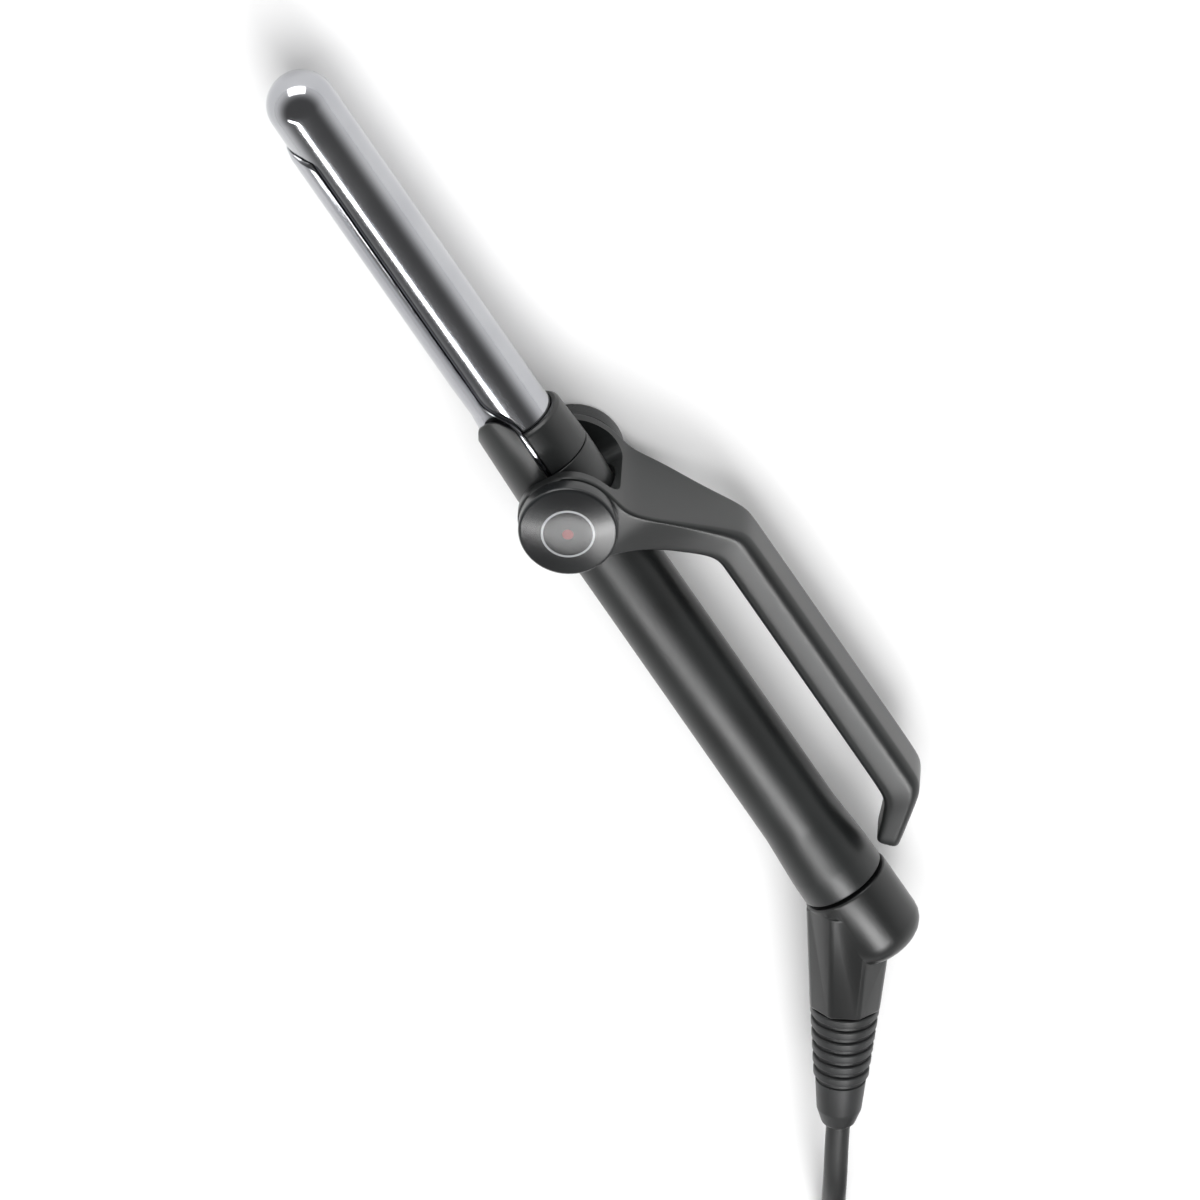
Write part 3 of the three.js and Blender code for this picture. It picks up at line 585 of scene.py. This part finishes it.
def coil_points(start_angle):
    points = []
    for i in range(LAYERS * TURNS_PER_LAYER * POINTS_PER_TURN + 1):
        turns = i / POINTS_PER_TURN
        layer = min(int(turns // TURNS_PER_LAYER), LAYERS - 1)
        across = CORD_D * (turns - layer * TURNS_PER_LAYER)
        radius = COIL_INNER + across if layer % 2 else COIL_OUTER - across
        boundaries = [TURNS_PER_LAYER * n for n in range(1, LAYERS)]
        level = sum(ease((turns - at) / RISE_TURNS + 0.5) for at in boundaries)
        angle = start_angle + 2 * math.pi * turns
        height = COIL_LIFT + CORD_D * (level + 0.5)
        points.append(COIL_CENTRE + around(radius, angle, height))
    return points


def tail_points(start_angle):
    """Lifts off the last turn, then bends in over the coil's top to the plug."""
    top = COIL_LIFT + CORD_D * LAYERS
    over = top + CORD_D / 2 + TAIL_ROOM
    lift_from = top - CORD_D / 2
    points = []
    for i in range(1, LIFT_POINTS):
        share = i / LIFT_POINTS
        angle = start_angle + share * (TAIL_ANGLE - start_angle)
        radius = COIL_OUTER + TAIL_ROOM * math.sin(math.pi * share)
        height = lift_from + ease(share) * (over - lift_from)
        points.append(COIL_CENTRE + around(radius, angle, height))
    inwards = COIL_OUTER - TAIL_BEND
    centre = COIL_CENTRE + Vector((math.cos(TAIL_ANGLE), math.sin(TAIL_ANGLE), 0)) * inwards
    for i in range(BEND_POINTS + 1):
        share = i / BEND_POINTS
        angle = TAIL_ANGLE + share * TAIL_SWEEP
        height = over + ease(share) * (PLUG_HEIGHT - over)
        points.append(centre + around(TAIL_BEND, angle, height))
    return points


def smooth_path(points, step):
    """Catmull-Rom through the points, with a sample about every step."""
    padded = [2 * points[0] - points[1], *points, 2 * points[-1] - points[-2]]
    path = []
    for before, start, end, after in zip(padded, padded[1:], padded[2:], padded[3:]):
        count = max(1, round((end - start).length / step))
        for t in (i / count for i in range(count)):
            path.append(0.5 * (
                2 * start
                + (end - before) * t
                + (2 * before - 5 * start + 4 * end - after) * t ** 2
                + (3 * start - before - 3 * end + after) * t ** 3
            ))
    return path + [points[-1]]


to_coil = [Vector(p) * MM for p in TO_COIL]
route_angle = math.atan2(*(to_coil[-1] - to_coil[0]).yx)
meeting_angle = route_angle - math.pi / 2
to_plug = tail_points(meeting_angle)
cord_path = smooth_path([*to_coil, *coil_points(meeting_angle), *to_plug], CORD_STEP)

# %% The cord's round section
CORD_SIDES = 4


def cord_along(name, path, diameter):
    curve = bpy.data.curves.new(name, "CURVE")
    curve.dimensions = "3D"
    curve.bevel_depth = diameter / 2
    curve.bevel_resolution = CORD_SIDES
    curve.use_fill_caps = True
    spline = curve.splines.new("POLY")
    spline.points.add(len(path) - 1)
    for point, place in zip(spline.points, path):
        point.co = (*place, 1)
    piece = bpy.data.objects.new(name, curve)
    bpy.context.scene.collection.objects.link(piece)
    only(piece)
    bpy.ops.object.convert(target="MESH")
    return clean(piece)


mains_cord = cord_along("mains_cord", cord_path, CORD_D)
mains_cord.data.materials.append(CORD_PVC)
smooth(mains_cord)
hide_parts("power_cord", "cord_coil", "cord_tail")
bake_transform(mains_cord)
print("cord mesh has", len(mains_cord.data.polygons), "faces")

# %% [markdown]
# ## The strap round the coil
# A soft strap stops the coil from springing open. It is a closed band: an outer loop with
# an inner loop cut out of it, made flat and then turned and moved to its place on the coil.

# %% Coil strap
STRAP_ANGLE = math.radians(60)
STRAP_WIDTH = 12
STRAP_THICKNESS = 0.9
STRAP_ROOM = 1.1
GAP = 0.3
inner_edge = COIL_INNER / MM - CORD_D / MM / 2 - STRAP_ROOM
outer_edge = COIL_OUTER / MM + CORD_D / MM / 2 + GAP
strap_top = COIL_LIFT / MM + LAYERS * CORD_D / MM + GAP


def strap_loop(name, spare, width, radius):
    floor = -AXIS_Z / MM + STRAP_THICKNESS - spare
    top = strap_top - AXIS_Z / MM + spare
    corners = [
        (inner_edge - spare, floor, radius),
        (outer_edge + spare, floor, radius),
        (outer_edge + spare, top, radius),
        (inner_edge - spare, top, radius),
    ]
    return slab(name, corners, "xz", -width / 2, width / 2)


coil_strap = strap_loop("coil_strap", STRAP_THICKNESS, STRAP_WIDTH, 3.2)
join_or_cut(coil_strap, strap_loop("strap_hole", 0, 2 * STRAP_WIDTH, 2.4))
ease_edges(coil_strap, 0.25, 2)
coil_strap.matrix_world = Matrix.Translation(COIL_CENTRE) @ Matrix.Rotation(STRAP_ANGLE, 4, "Z")
only(coil_strap)
bpy.ops.object.transform_apply(location=True, rotation=True, scale=True)
hand_over(coil_strap, "handle", "coil_tie", STRAP_PVC)

# %% [markdown]
# ## The plug
# A two-pin plug is moulded straight onto the cord: a flat wedge that widens to the face,
# with finger ribs on both sides, and two turned pins with rounded ends. It lies on the coil.

# %% Plug body and pins
PLUG_AT = to_plug[-1].copy()
PLUG_ANGLE = TAIL_ANGLE + TAIL_SWEEP + math.pi / 2
PLUG_LENGTH = 36
PLUG_THICKNESS = 13.7
PIN_R = 2
PIN_LENGTH = 19
PIN_SPACING = 18.6
RIB_GROOVES = (15, 18.5, 22)
plug_place = Matrix.Translation((PLUG_AT.x, PLUG_AT.y, 0)) @ Matrix.Rotation(PLUG_ANGLE, 4, "Z")
plug_floor = (PLUG_HEIGHT - AXIS_Z) / MM - PLUG_THICKNESS / 2


def put(piece, matrix):
    piece.matrix_world = matrix @ piece.matrix_world
    only(piece)
    bpy.ops.object.transform_apply(location=True, rotation=True, scale=True)
    return piece


half_outline = [(0.9, 6, 1.5), (12, 7, 8), (24, 17.6, 6), (PLUG_LENGTH, 17.6, 2.5)]
mirrored = [(x, -y, radius) for x, y, radius in half_outline[::-1]]
plug = slab("plug", half_outline + mirrored, "xy", plug_floor, plug_floor + PLUG_THICKNESS)
ease_edges(plug, 2.2, 5, 60)
for x in RIB_GROOVES:
    for face in (plug_floor, plug_floor + PLUG_THICKNESS):
        groove = rod("rib_groove", 0.7, on_axis(x, -7, face), on_axis(x, 7, face), 16)
        join_or_cut(plug, groove)
put(plug, plug_place)
hand_over(plug, "handle", "plug_body", RELIEF_PVC, 35)

for node, side in (("plug_pin_left", 1), ("plug_pin_right", -1)):
    height = plug_floor + PLUG_THICKNESS / 2
    start = on_axis(PLUG_LENGTH + GAP, side * PIN_SPACING / 2, height)
    end = start + Vector((PIN_LENGTH * MM, 0, 0))
    pin = rod(node.replace("plug_pin", "turned_pin"), PIN_R, start, end)
    ease_edges(pin, 1.1, 4)
    put(pin, plug_place)
    hand_over(pin, "handle", node, FINISHES["steel"])

print("plug and strap are on the cord")


# %% [markdown]
# ## The barrel
# The barrel is a thin steel tube whose front is spun over into a dome. A lathe does the
# same here: half the wall's section is turned about the iron's axis, so the dome is true.

# %% Barrel
def arc(centre, radius, start, end, steps=16):
    turns = [start + (end - start) * i / steps for i in range(steps + 1)]
    return [(centre + radius * math.cos(a), radius * math.sin(a)) for a in turns]


barrel_low, barrel_high = (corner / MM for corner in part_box("barrel_tube"))
BARREL_R = (barrel_high.y - barrel_low.y) / 2
BARREL_WALL = 1
dome_centre = barrel_low.x + BARREL_R
barrel = turned_on_iron(
    "barrel",
    [
        *arc(dome_centre, BARREL_R, math.pi, math.pi / 2, 24),
        (barrel_high.x, BARREL_R),
        (barrel_high.x, BARREL_R - BARREL_WALL),
        *arc(dome_centre, BARREL_R - BARREL_WALL, math.pi / 2, math.pi),
    ],
    closed=False,
)
hand_over(barrel, "handle", "barrel_tube", BARREL_CHROME)

# %% [markdown]
# ## Heat guard, neck and handle
# Three turned-looking mouldings follow the barrel. Under the blade's cover, guard and neck
# are cut back to a smaller radius, so that the closed clip lies in a recess.

# %% Heat guard and neck
NEST_R = 10.6
NEST_TOP = 2.2
FAR = 60


def nest(piece, start, end):
    corners = [(start, NEST_R), (start, FAR), (end, FAR), (end, NEST_R)]
    recess = turned_on_iron("recess", corners)
    below = block("below", (start - 1, -FAR, -FAR), (end + 1, NEST_TOP, FAR))
    join_or_cut(recess, below, "INTERSECT")
    join_or_cut(piece, recess)
    return ease_edges(piece, 0.25, 2)


heat_guard = turned_on_iron("heat_guard_moulding", [
    (-26, 9.8), (-26, 10.8, 0.3), (-25.2, 11.6, 0.9), (-12.3, 12.2, 0.35), (-12.3, 9.8),
])
nest(heat_guard, -28, -11.9)
hand_over(heat_guard, "handle", "heat_guard", BODY_NYLON)

BOSS_R = 5.4
BOSS_REACH = 13.2
neck = turned_on_iron("neck", [
    (-12, 9.8), (-12, 12.2, 0.35), (-7, 12.2, 8), (11, 11.3, 0.4), (11, 8.65),
    (22, 8.65, 0.4), (22, 7.05), (-5.7, 7.05), (-5.7, 9.8),
])
nest(neck, -12.3, 11.3)
boss = rod("boss", BOSS_R, on_axis(0, 0, -BOSS_REACH), on_axis(0, 0, BOSS_REACH))
join_or_cut(boss, rod("lead_way", 7.3, on_axis(-10), on_axis(10)))
join_or_cut(neck, boss, "UNION")
join_or_cut(neck, rod("insert_hole", 3.7, on_axis(0, 0, -FAR), on_axis(0, 0, FAR)))
hand_over(neck, "handle", "neck_sleeve", BODY_NYLON)

# %% Handle
handle = turned_on_iron("handle_grip", [
    (11.3, 8.95), (11.3, 10.95, 0.4), (118.3, 10.95, 40), (133, 11.8, 20),
    (140.3, 11.9, 0.5), (140.3, 8.95),
])
join_or_cut(handle, rod("screw_way", 2.7, on_axis(16.5, 0, -FAR), on_axis(16.5)))
hand_over(handle, "handle", "handle_tube", BODY_NYLON)

# %% [markdown]
# ## The swivel outlet
# The cord outlet is a short drum with a bent nose. The drum is turned, the nose is an
# eight-sided cone joined to it, and a small bevel softens the flats as a mould does.

# %% Swivel housing
HOUSING_R = 12.3
HOUSING_FRONT = 141.3
HOUSING_END = 164.8
NOSE_BEGIN = 2
NOSE_END = 35.4
NOSE_START_R = 13.0
NOSE_END_R = 10.2
NOSE_SIDES = 8
CORD_WAY_R = 4.6
along_nose = Vector((math.cos(NOSE_ANGLE), -math.sin(NOSE_ANGLE), 0))

housing = turned_on_iron("swivel_outlet", [
    (HOUSING_FRONT, 0), (HOUSING_FRONT, HOUSING_R, 0.6),
    (HOUSING_END, HOUSING_R, 6.8), (HOUSING_END, 0),
], closed=False)
bpy.ops.object.select_all(action="DESELECT")
bpy.ops.mesh.primitive_cone_add(
    vertices=NOSE_SIDES,
    radius1=NOSE_START_R * MM,
    radius2=NOSE_END_R * MM,
    depth=(NOSE_END - NOSE_BEGIN) * MM,
)
nose = bpy.context.object
middle_of_nose = NOSE_APEX + along_nose * ((NOSE_END + NOSE_BEGIN) / 2 * MM)
facing = along_nose.to_track_quat("Z", "Y").to_matrix().to_4x4()
flat_up = Matrix.Rotation(math.pi / NOSE_SIDES, 4, "Z")
put(nose, Matrix.Translation(middle_of_nose) @ facing @ flat_up)
ease_edges(nose, 1.0, 4, 30)
behind = block("behind", (HOUSING_FRONT - 20, -FAR, -FAR), (HOUSING_FRONT + 0.6, FAR, FAR))
join_or_cut(nose, behind)
join_or_cut(housing, nose, "UNION")
join_or_cut(housing, turned_on_iron("spindle_room", [
    (HOUSING_FRONT - 1, 0), (HOUSING_FRONT - 1, 3.9), (144.3, 3.9),
    (144.3, 9.3), (158.8, 7.8), (158.8, 0),
], closed=False))
join_or_cut(housing, turned_on_nose("cord_way", [
    (0, 0), (0, CORD_WAY_R), (NOSE_END + 1, CORD_WAY_R), (NOSE_END + 1, 0),
]))
ease_edges(housing, 0.35, 2, 50)
hand_over(housing, "cord_swivel", "swivel_housing", OUTLET_NYLON, 35)

# %% [markdown]
# ## The strain relief
# Where the cord leaves, a soft taper keeps it from kinking. Rings cut into it let it bend,
# each smaller than the one before, and a plain sleeve ends it.

# %% Strain relief
RIBS = 6
RIB_PITCH = 3.9
RIB_SHARE = 0.62
RIB_DEPTH = 1.3
RIB_SHRINK = 0.35
FIRST_RIB_R = 9.4
RELIEF_START = NOSE_END + GAP
relief_profile = [(NOSE_END - 6, 0), (NOSE_END - 6, 4.3), (RELIEF_START, 4.3)]
for rib in range(RIBS):
    start = RELIEF_START + rib * RIB_PITCH
    rib_end = start + RIB_SHARE * RIB_PITCH
    radius = FIRST_RIB_R - RIB_SHRINK * rib
    core = radius - RIB_DEPTH
    relief_profile += [
        (start, radius, 0.5), (rib_end, radius - 0.1, 0.5),
        (rib_end, core, 0.25), (start + RIB_PITCH, core, 0.25),
    ]
relief_profile += [
    (RELIEF_START + RIBS * RIB_PITCH, 6.9, 0.6), (68.3, 6.1, 3), (72.6, 4.6, 1.2), (73.3, 3.9, 0.3),
    (73.3, 0),
]
relief = turned_on_nose("strain_relief_moulding", relief_profile)
hand_over(relief, "cord_swivel", "strain_relief", RELIEF_PVC, 45)

# %% [markdown]
# ## The lever
# Yoke, arm, finger grip and tail are one moulding. Its sections are rounded oblongs that
# change along the way: tall and wide at the yoke, narrow and well rounded at the grip. Each
# is given by where it meets the outer and the inner line, its half width and its rounding.
# The loops are bridged one after the other, subdivided once, and then the fork is cut out.

# %% Loft between loops
import bmesh


def lofted(name, loops):
    count = len(loops[0])
    points = [point for loop in loops for point in loop]
    edges = [
        (k * count + i, k * count + (i + 1) % count) for k in range(len(loops)) for i in range(count)
    ]
    piece = new_piece(name, points, edges)
    bpy.ops.object.mode_set(mode="EDIT")
    bpy.ops.mesh.select_mode(type="EDGE")
    mesh = bmesh.from_edit_mesh(piece.data)

    def select_loops(*numbers):
        bpy.ops.mesh.select_all(action="DESELECT")
        for edge in mesh.edges:
            rows = {vert.index // count for vert in edge.verts}
            edge.select_set(len(rows) == 1 and rows <= set(numbers))

    for k in range(len(loops) - 1):
        select_loops(k, k + 1)
        bpy.ops.mesh.bridge_edge_loops()
        mesh = bmesh.from_edit_mesh(piece.data)
    for k in (0, len(loops) - 1):
        select_loops(k)
        bpy.ops.mesh.edge_face_add()
        mesh = bmesh.from_edit_mesh(piece.data)
    bpy.ops.object.mode_set(mode="OBJECT")
    return clean(piece)


# %% Lever sections
# outer x, outer y, inner x, inner y, half width, rounding
LEVER_SECTIONS = [
    (-13.2, 3.5, -13.2, -3.5, 16.6, 0.6),
    (-12.2, 7.0, -12.2, -7.0, 17, 0.8),
    (-9.4, 10.6, -9.4, -10.6, 17, 0.9),
    (-5.0, 13.2, -5.0, -13.0, 17, 1.0),
    (0.0, 14.4, 0.6, -13.6, 17, 1.0),
    (4.0, 15.0, 6.8, -12.0, 17, 1.1),
    (7.2, 16.6, 11.2, -8.4, 16.9, 1.2),
    (10.6, 19.2, 14.0, -2.4, 16.2, 1.3),
    (14.4, 22.2, 16.0, 5.6, 14.7, 1.5),
    (18.6, 25.5, 20.6, 13.2, 12.9, 1.8),
    (23.0, 29.0, 26.0, 18.2, 11.1, 2.1),
    (27.6, 32.7, 30.6, 22.3, 9.7, 2.5),
    (30.6, 34.9, 33.6, 24.1, 8.9, 2.9),
    (33.2, 35.9, 36.2, 24.7, 8.5, 3.3),
    (38.0, 36.0, 39.0, 24.7, 8.5, 3.6),
    (78.0, 36.0, 78.0, 24.7, 8.5, 3.6),
    (117.0, 36.0, 116.0, 24.7, 8.5, 3.6),
    (121.6, 35.7, 120.0, 24.6, 8.4, 3.4),
    (124.8, 33.9, 122.6, 23.9, 8.1, 3.0),
    (127.2, 31.2, 124.6, 22.5, 7.7, 2.6),
    (130.6, 27.2, 126.9, 20.6, 7.3, 2.3),
    (135.6, 21.2, 131.0, 16.8, 6.8, 2.1),
    (137.2, 19.2, 132.7, 15.0, 6.5, 1.9),
]


def lever_loop(outer_x, outer_y, inner_x, inner_y, half_width, rounding):
    inner = Vector((inner_x, inner_y, 0)) * MM
    across = Vector((outer_x, outer_y, 0)) * MM - inner
    depth = across.length / MM
    corners = [
        (0, -half_width, rounding), (depth, -half_width, rounding),
        (depth, half_width, rounding), (0, half_width, rounding),
    ]
    step = across.normalized() * MM
    return [inner + step * a + Vector((0, 0, AXIS_Z + z * MM)) for a, z in softened(corners)]


CHEEK_INNER = 13.5
HANDLE_ROOM_R = 12.8
BUSH_HOLE_R = 4.6
lever = lofted("finger_lever", [lever_loop(*section) for section in LEVER_SECTIONS])
modify(lever, "SUBSURF", levels=2, render_levels=2)
join_or_cut(lever, rod("handle_room", HANDLE_ROOM_R, on_axis(-30), on_axis(52), TURN_STEPS))
join_or_cut(lever, slab("fork", [
    (-27, -CHEEK_INNER), (1.8, -CHEEK_INNER, 6), (1.8, CHEEK_INNER, 6), (-27, CHEEK_INNER),
], "xz", -FAR, FAR))
join_or_cut(lever, block("under", (-27, -FAR, -CHEEK_INNER), (27, 0, CHEEK_INNER)))
cheeks = (on_axis(0, 0, -CHEEK_INNER), on_axis(0, 0, CHEEK_INNER))
join_or_cut(lever, rod("boss_room", BOSS_R + GAP, *cheeks))
join_or_cut(lever, rod("bush_hole", BUSH_HOLE_R, on_axis(0, 0, -FAR), on_axis(0, 0, FAR)))
ease_edges(lever, 0.35, 2, 50)
hand_over(lever, "lever", "lever_body", BODY_NYLON, 35)
low, high = (Vector(lever.bound_box[0]), Vector(lever.bound_box[6]))
print("lever spans", [round(v / MM, 1) for v in (*low, *high)])

# %% [markdown]
# ## The clip
# The clip's blade is a strip of spring steel rolled to the barrel's curve. Here a ring with
# the strip's section is turned, and only what lies under a cutting line is kept, as if the
# sheet were trimmed from the side and its tip from above. Its shank steps out over the heat
# guard, and a moulded cover hides it but for one bright edge.

# %% Blade
BLADE_IN = 9.8
BLADE_OUT = 10.6
SHANK_IN = 10.9
SHANK_OUT = 11.7
SHANK_EDGE = 1.6
BLADE_EDGE = -4.3
BLADE_TIP = -129
SHANK_REAR = -7
blade = turned_on_iron("clip_blade", [
    (BLADE_TIP, BLADE_IN - 0.2), (BLADE_TIP, BLADE_IN + 0.2, 0.2),
    (-126, BLADE_OUT, 6), (-46, BLADE_OUT, 30),
    (-35, BLADE_OUT - 0.25, 3), (-30.5, BLADE_OUT + 0.1, 3),
    (-27, SHANK_OUT, 3), (SHANK_REAR, SHANK_OUT),
    (SHANK_REAR, SHANK_IN), (-26.5, SHANK_IN, 3),
    (-29.5, BLADE_IN, 3), (-37, BLADE_IN - 0.15, 6),
    (-46, BLADE_IN, 30), (-126, BLADE_IN, 6),
], steps=128)
join_or_cut(blade, slab("side_trim", [
    (-140, BLADE_EDGE), (-140, -FAR), (0, -FAR), (0, SHANK_EDGE), (-28, SHANK_EDGE, 9),
    (-38, BLADE_EDGE, 9),
], "xy", -FAR, FAR), "INTERSECT")
join_or_cut(blade, slab("tip_trim", [
    (BLADE_TIP, -9.7, 8), (BLADE_TIP, 9.7, 8), (-42, 9.7), (-34, FAR),
    (0, FAR), (0, -FAR), (-34, -FAR), (-42, -9.7),
], "xz", -FAR, FAR), "INTERSECT")

# %% Cover and rivets
COVER_IN = 12.0
cover = turned_on_iron("clip_cover", [
    (-36, COVER_IN), (-36, COVER_IN + 0.5), (-22, COVER_IN + 0.95, 20),
    (-6, 13.4, 0.5), (-6, COVER_IN),
], steps=128)
join_or_cut(cover, slab("cover_trim", [
    (-26, -30), (-26, -13, 1), (-33, -8.5, 5), (-35, -3, 4), (-29, 0.7, 6), (0, 0.7), (0, -30),
], "xy", -FAR, FAR), "INTERSECT")

RIVETS = {"blade_rivet_front": -21, "blade_rivet_rear": -13}
for node, x in RIVETS.items():
    for piece in (blade, cover):
        join_or_cut(piece, rod("rivet_hole", 1.8, on_axis(x, -14), on_axis(x, -8)))
    rivet_name = node.replace("blade_rivet", "dome_rivet")
    rivet = rod(rivet_name, 1.5, on_axis(x, -13.1), on_axis(x, -10.95))
    ease_edges(rivet, 0.5, 4)
    hand_over(rivet, "lever", node, FINISHES["steel"])
ease_edges(blade, 0.15, 2)
ease_edges(cover, 0.35, 3)
hand_over(blade, "lever", "clamp_blade", CLIP_CHROME, 35)
hand_over(cover, "lever", "blade_cover", BODY_NYLON, 35)

# %% [markdown]
# ## The pivot caps
# A round cap hides each pivot screw. The upper one is slightly domed, so that it catches
# the light on one side. The lower one is flat, because the iron lies on it.

# %% Caps
CAP_R = 13.4
CAP_BASE = 17.3
CAP_FACE = 23.3
CAP_WALL = 2
CAPS = [("pivot_cap_upper", 1, 1.3, PRINTED_CAP), ("pivot_cap_lower", -1, 0, CAP_NYLON)]
for node, side, rise, nylon in CAPS:
    cap = turned_on_pivot(node.replace("cap", "cap_moulding"), [
        (0, CAP_FACE - CAP_WALL), (CAP_R - CAP_WALL, CAP_FACE - CAP_WALL, 0.5),
        (CAP_R - CAP_WALL, CAP_BASE), (CAP_R, CAP_BASE, 0.3), (CAP_R, CAP_FACE - rise, 1.1),
        (CAP_R * 0.5, CAP_FACE - rise * 0.12, 30), (0, CAP_FACE),
    ], side, closed=False)
    hand_over(cap, "lever", node, nylon, 35)

# %% [markdown]
# ## Table and light
# The table is a pale matt sheet in a white-walled studio with a dark ceiling, so the barrel
# mirrors a soft fade from dark to white. A long thin lamp, seen only in reflections, draws the
# crisp line down it. A low window shows on its domed end. A large lamp overhead lights the
# table and isn't seen in reflections.

# %% Table
bpy.ops.object.select_all(action="DESELECT")
TABLE_SIZE = 1.8
bpy.ops.mesh.primitive_plane_add(size=TABLE_SIZE)
table = bpy.context.object
table.name = "table"
table_paper, shader = start_material(
    "white_matt_paper", {"Base Color": linear("#f4f4f4"), "Roughness": 0.9},
)
bumped(table_paper, shader, grain(table_paper, 1.5, 3), 0.02, 0.2)
table.data.materials.append(table_paper)


# %% Lights
def soft_light(name, place, aim, size, power):
    bpy.ops.object.light_add(type="AREA", location=place)
    light = bpy.context.object
    light.name = name
    light.data.shape = "RECTANGLE"
    light.data.size, light.data.size_y = size
    light.data.energy = power
    light.rotation_euler = (Vector(aim) - Vector(place)).to_track_quat("-Z", "Y").to_euler()
    return light


strip = soft_light("strip", (0.46, -0.27, 1.0), (0, 0, 0.02), (1.8, 0.06), 11)
strip.visible_diffuse = False
soft_light("window", (-1.1, 0.28, 0.2), (-0.14, 0, 0.02), (1.0, 0.55), 7)
soft_light("cap_side", (0.74, -0.02, 0.94), (0, 0, 0.04), (0.45, 0.45), 5)
overhead = soft_light("overhead", (0, 0.3, 2.4), (0, 0, 0), (2.4, 2.4), 55)
overhead.visible_glossy = False

WALL_STRENGTH = 1.0
CEILING_STRENGTH = 0.11
CEILING_FROM = 0.75
world = bpy.data.worlds.new("studio_air")
bpy.context.scene.world = world
world.use_nodes = True
direction = add(world, "ShaderNodeTexCoord").outputs["Generated"]
height = add(world, "ShaderNodeSeparateXYZ", {}, {"Vector": direction}).outputs["Z"]
walls = add(
    world,
    "ShaderNodeMapRange",
    {
        "From Min": 0.0,
        "From Max": CEILING_FROM,
        "To Min": WALL_STRENGTH,
        "To Max": CEILING_STRENGTH,
        "interpolation_type": "SMOOTHSTEP",
    },
    {"Value": height},
).outputs["Result"]
air = world.node_tree.nodes["Background"]
air.inputs["Color"].default_value = (1, 1, 1, 1)
world.node_tree.links.new(walls, air.inputs["Strength"])
print("lights are on")
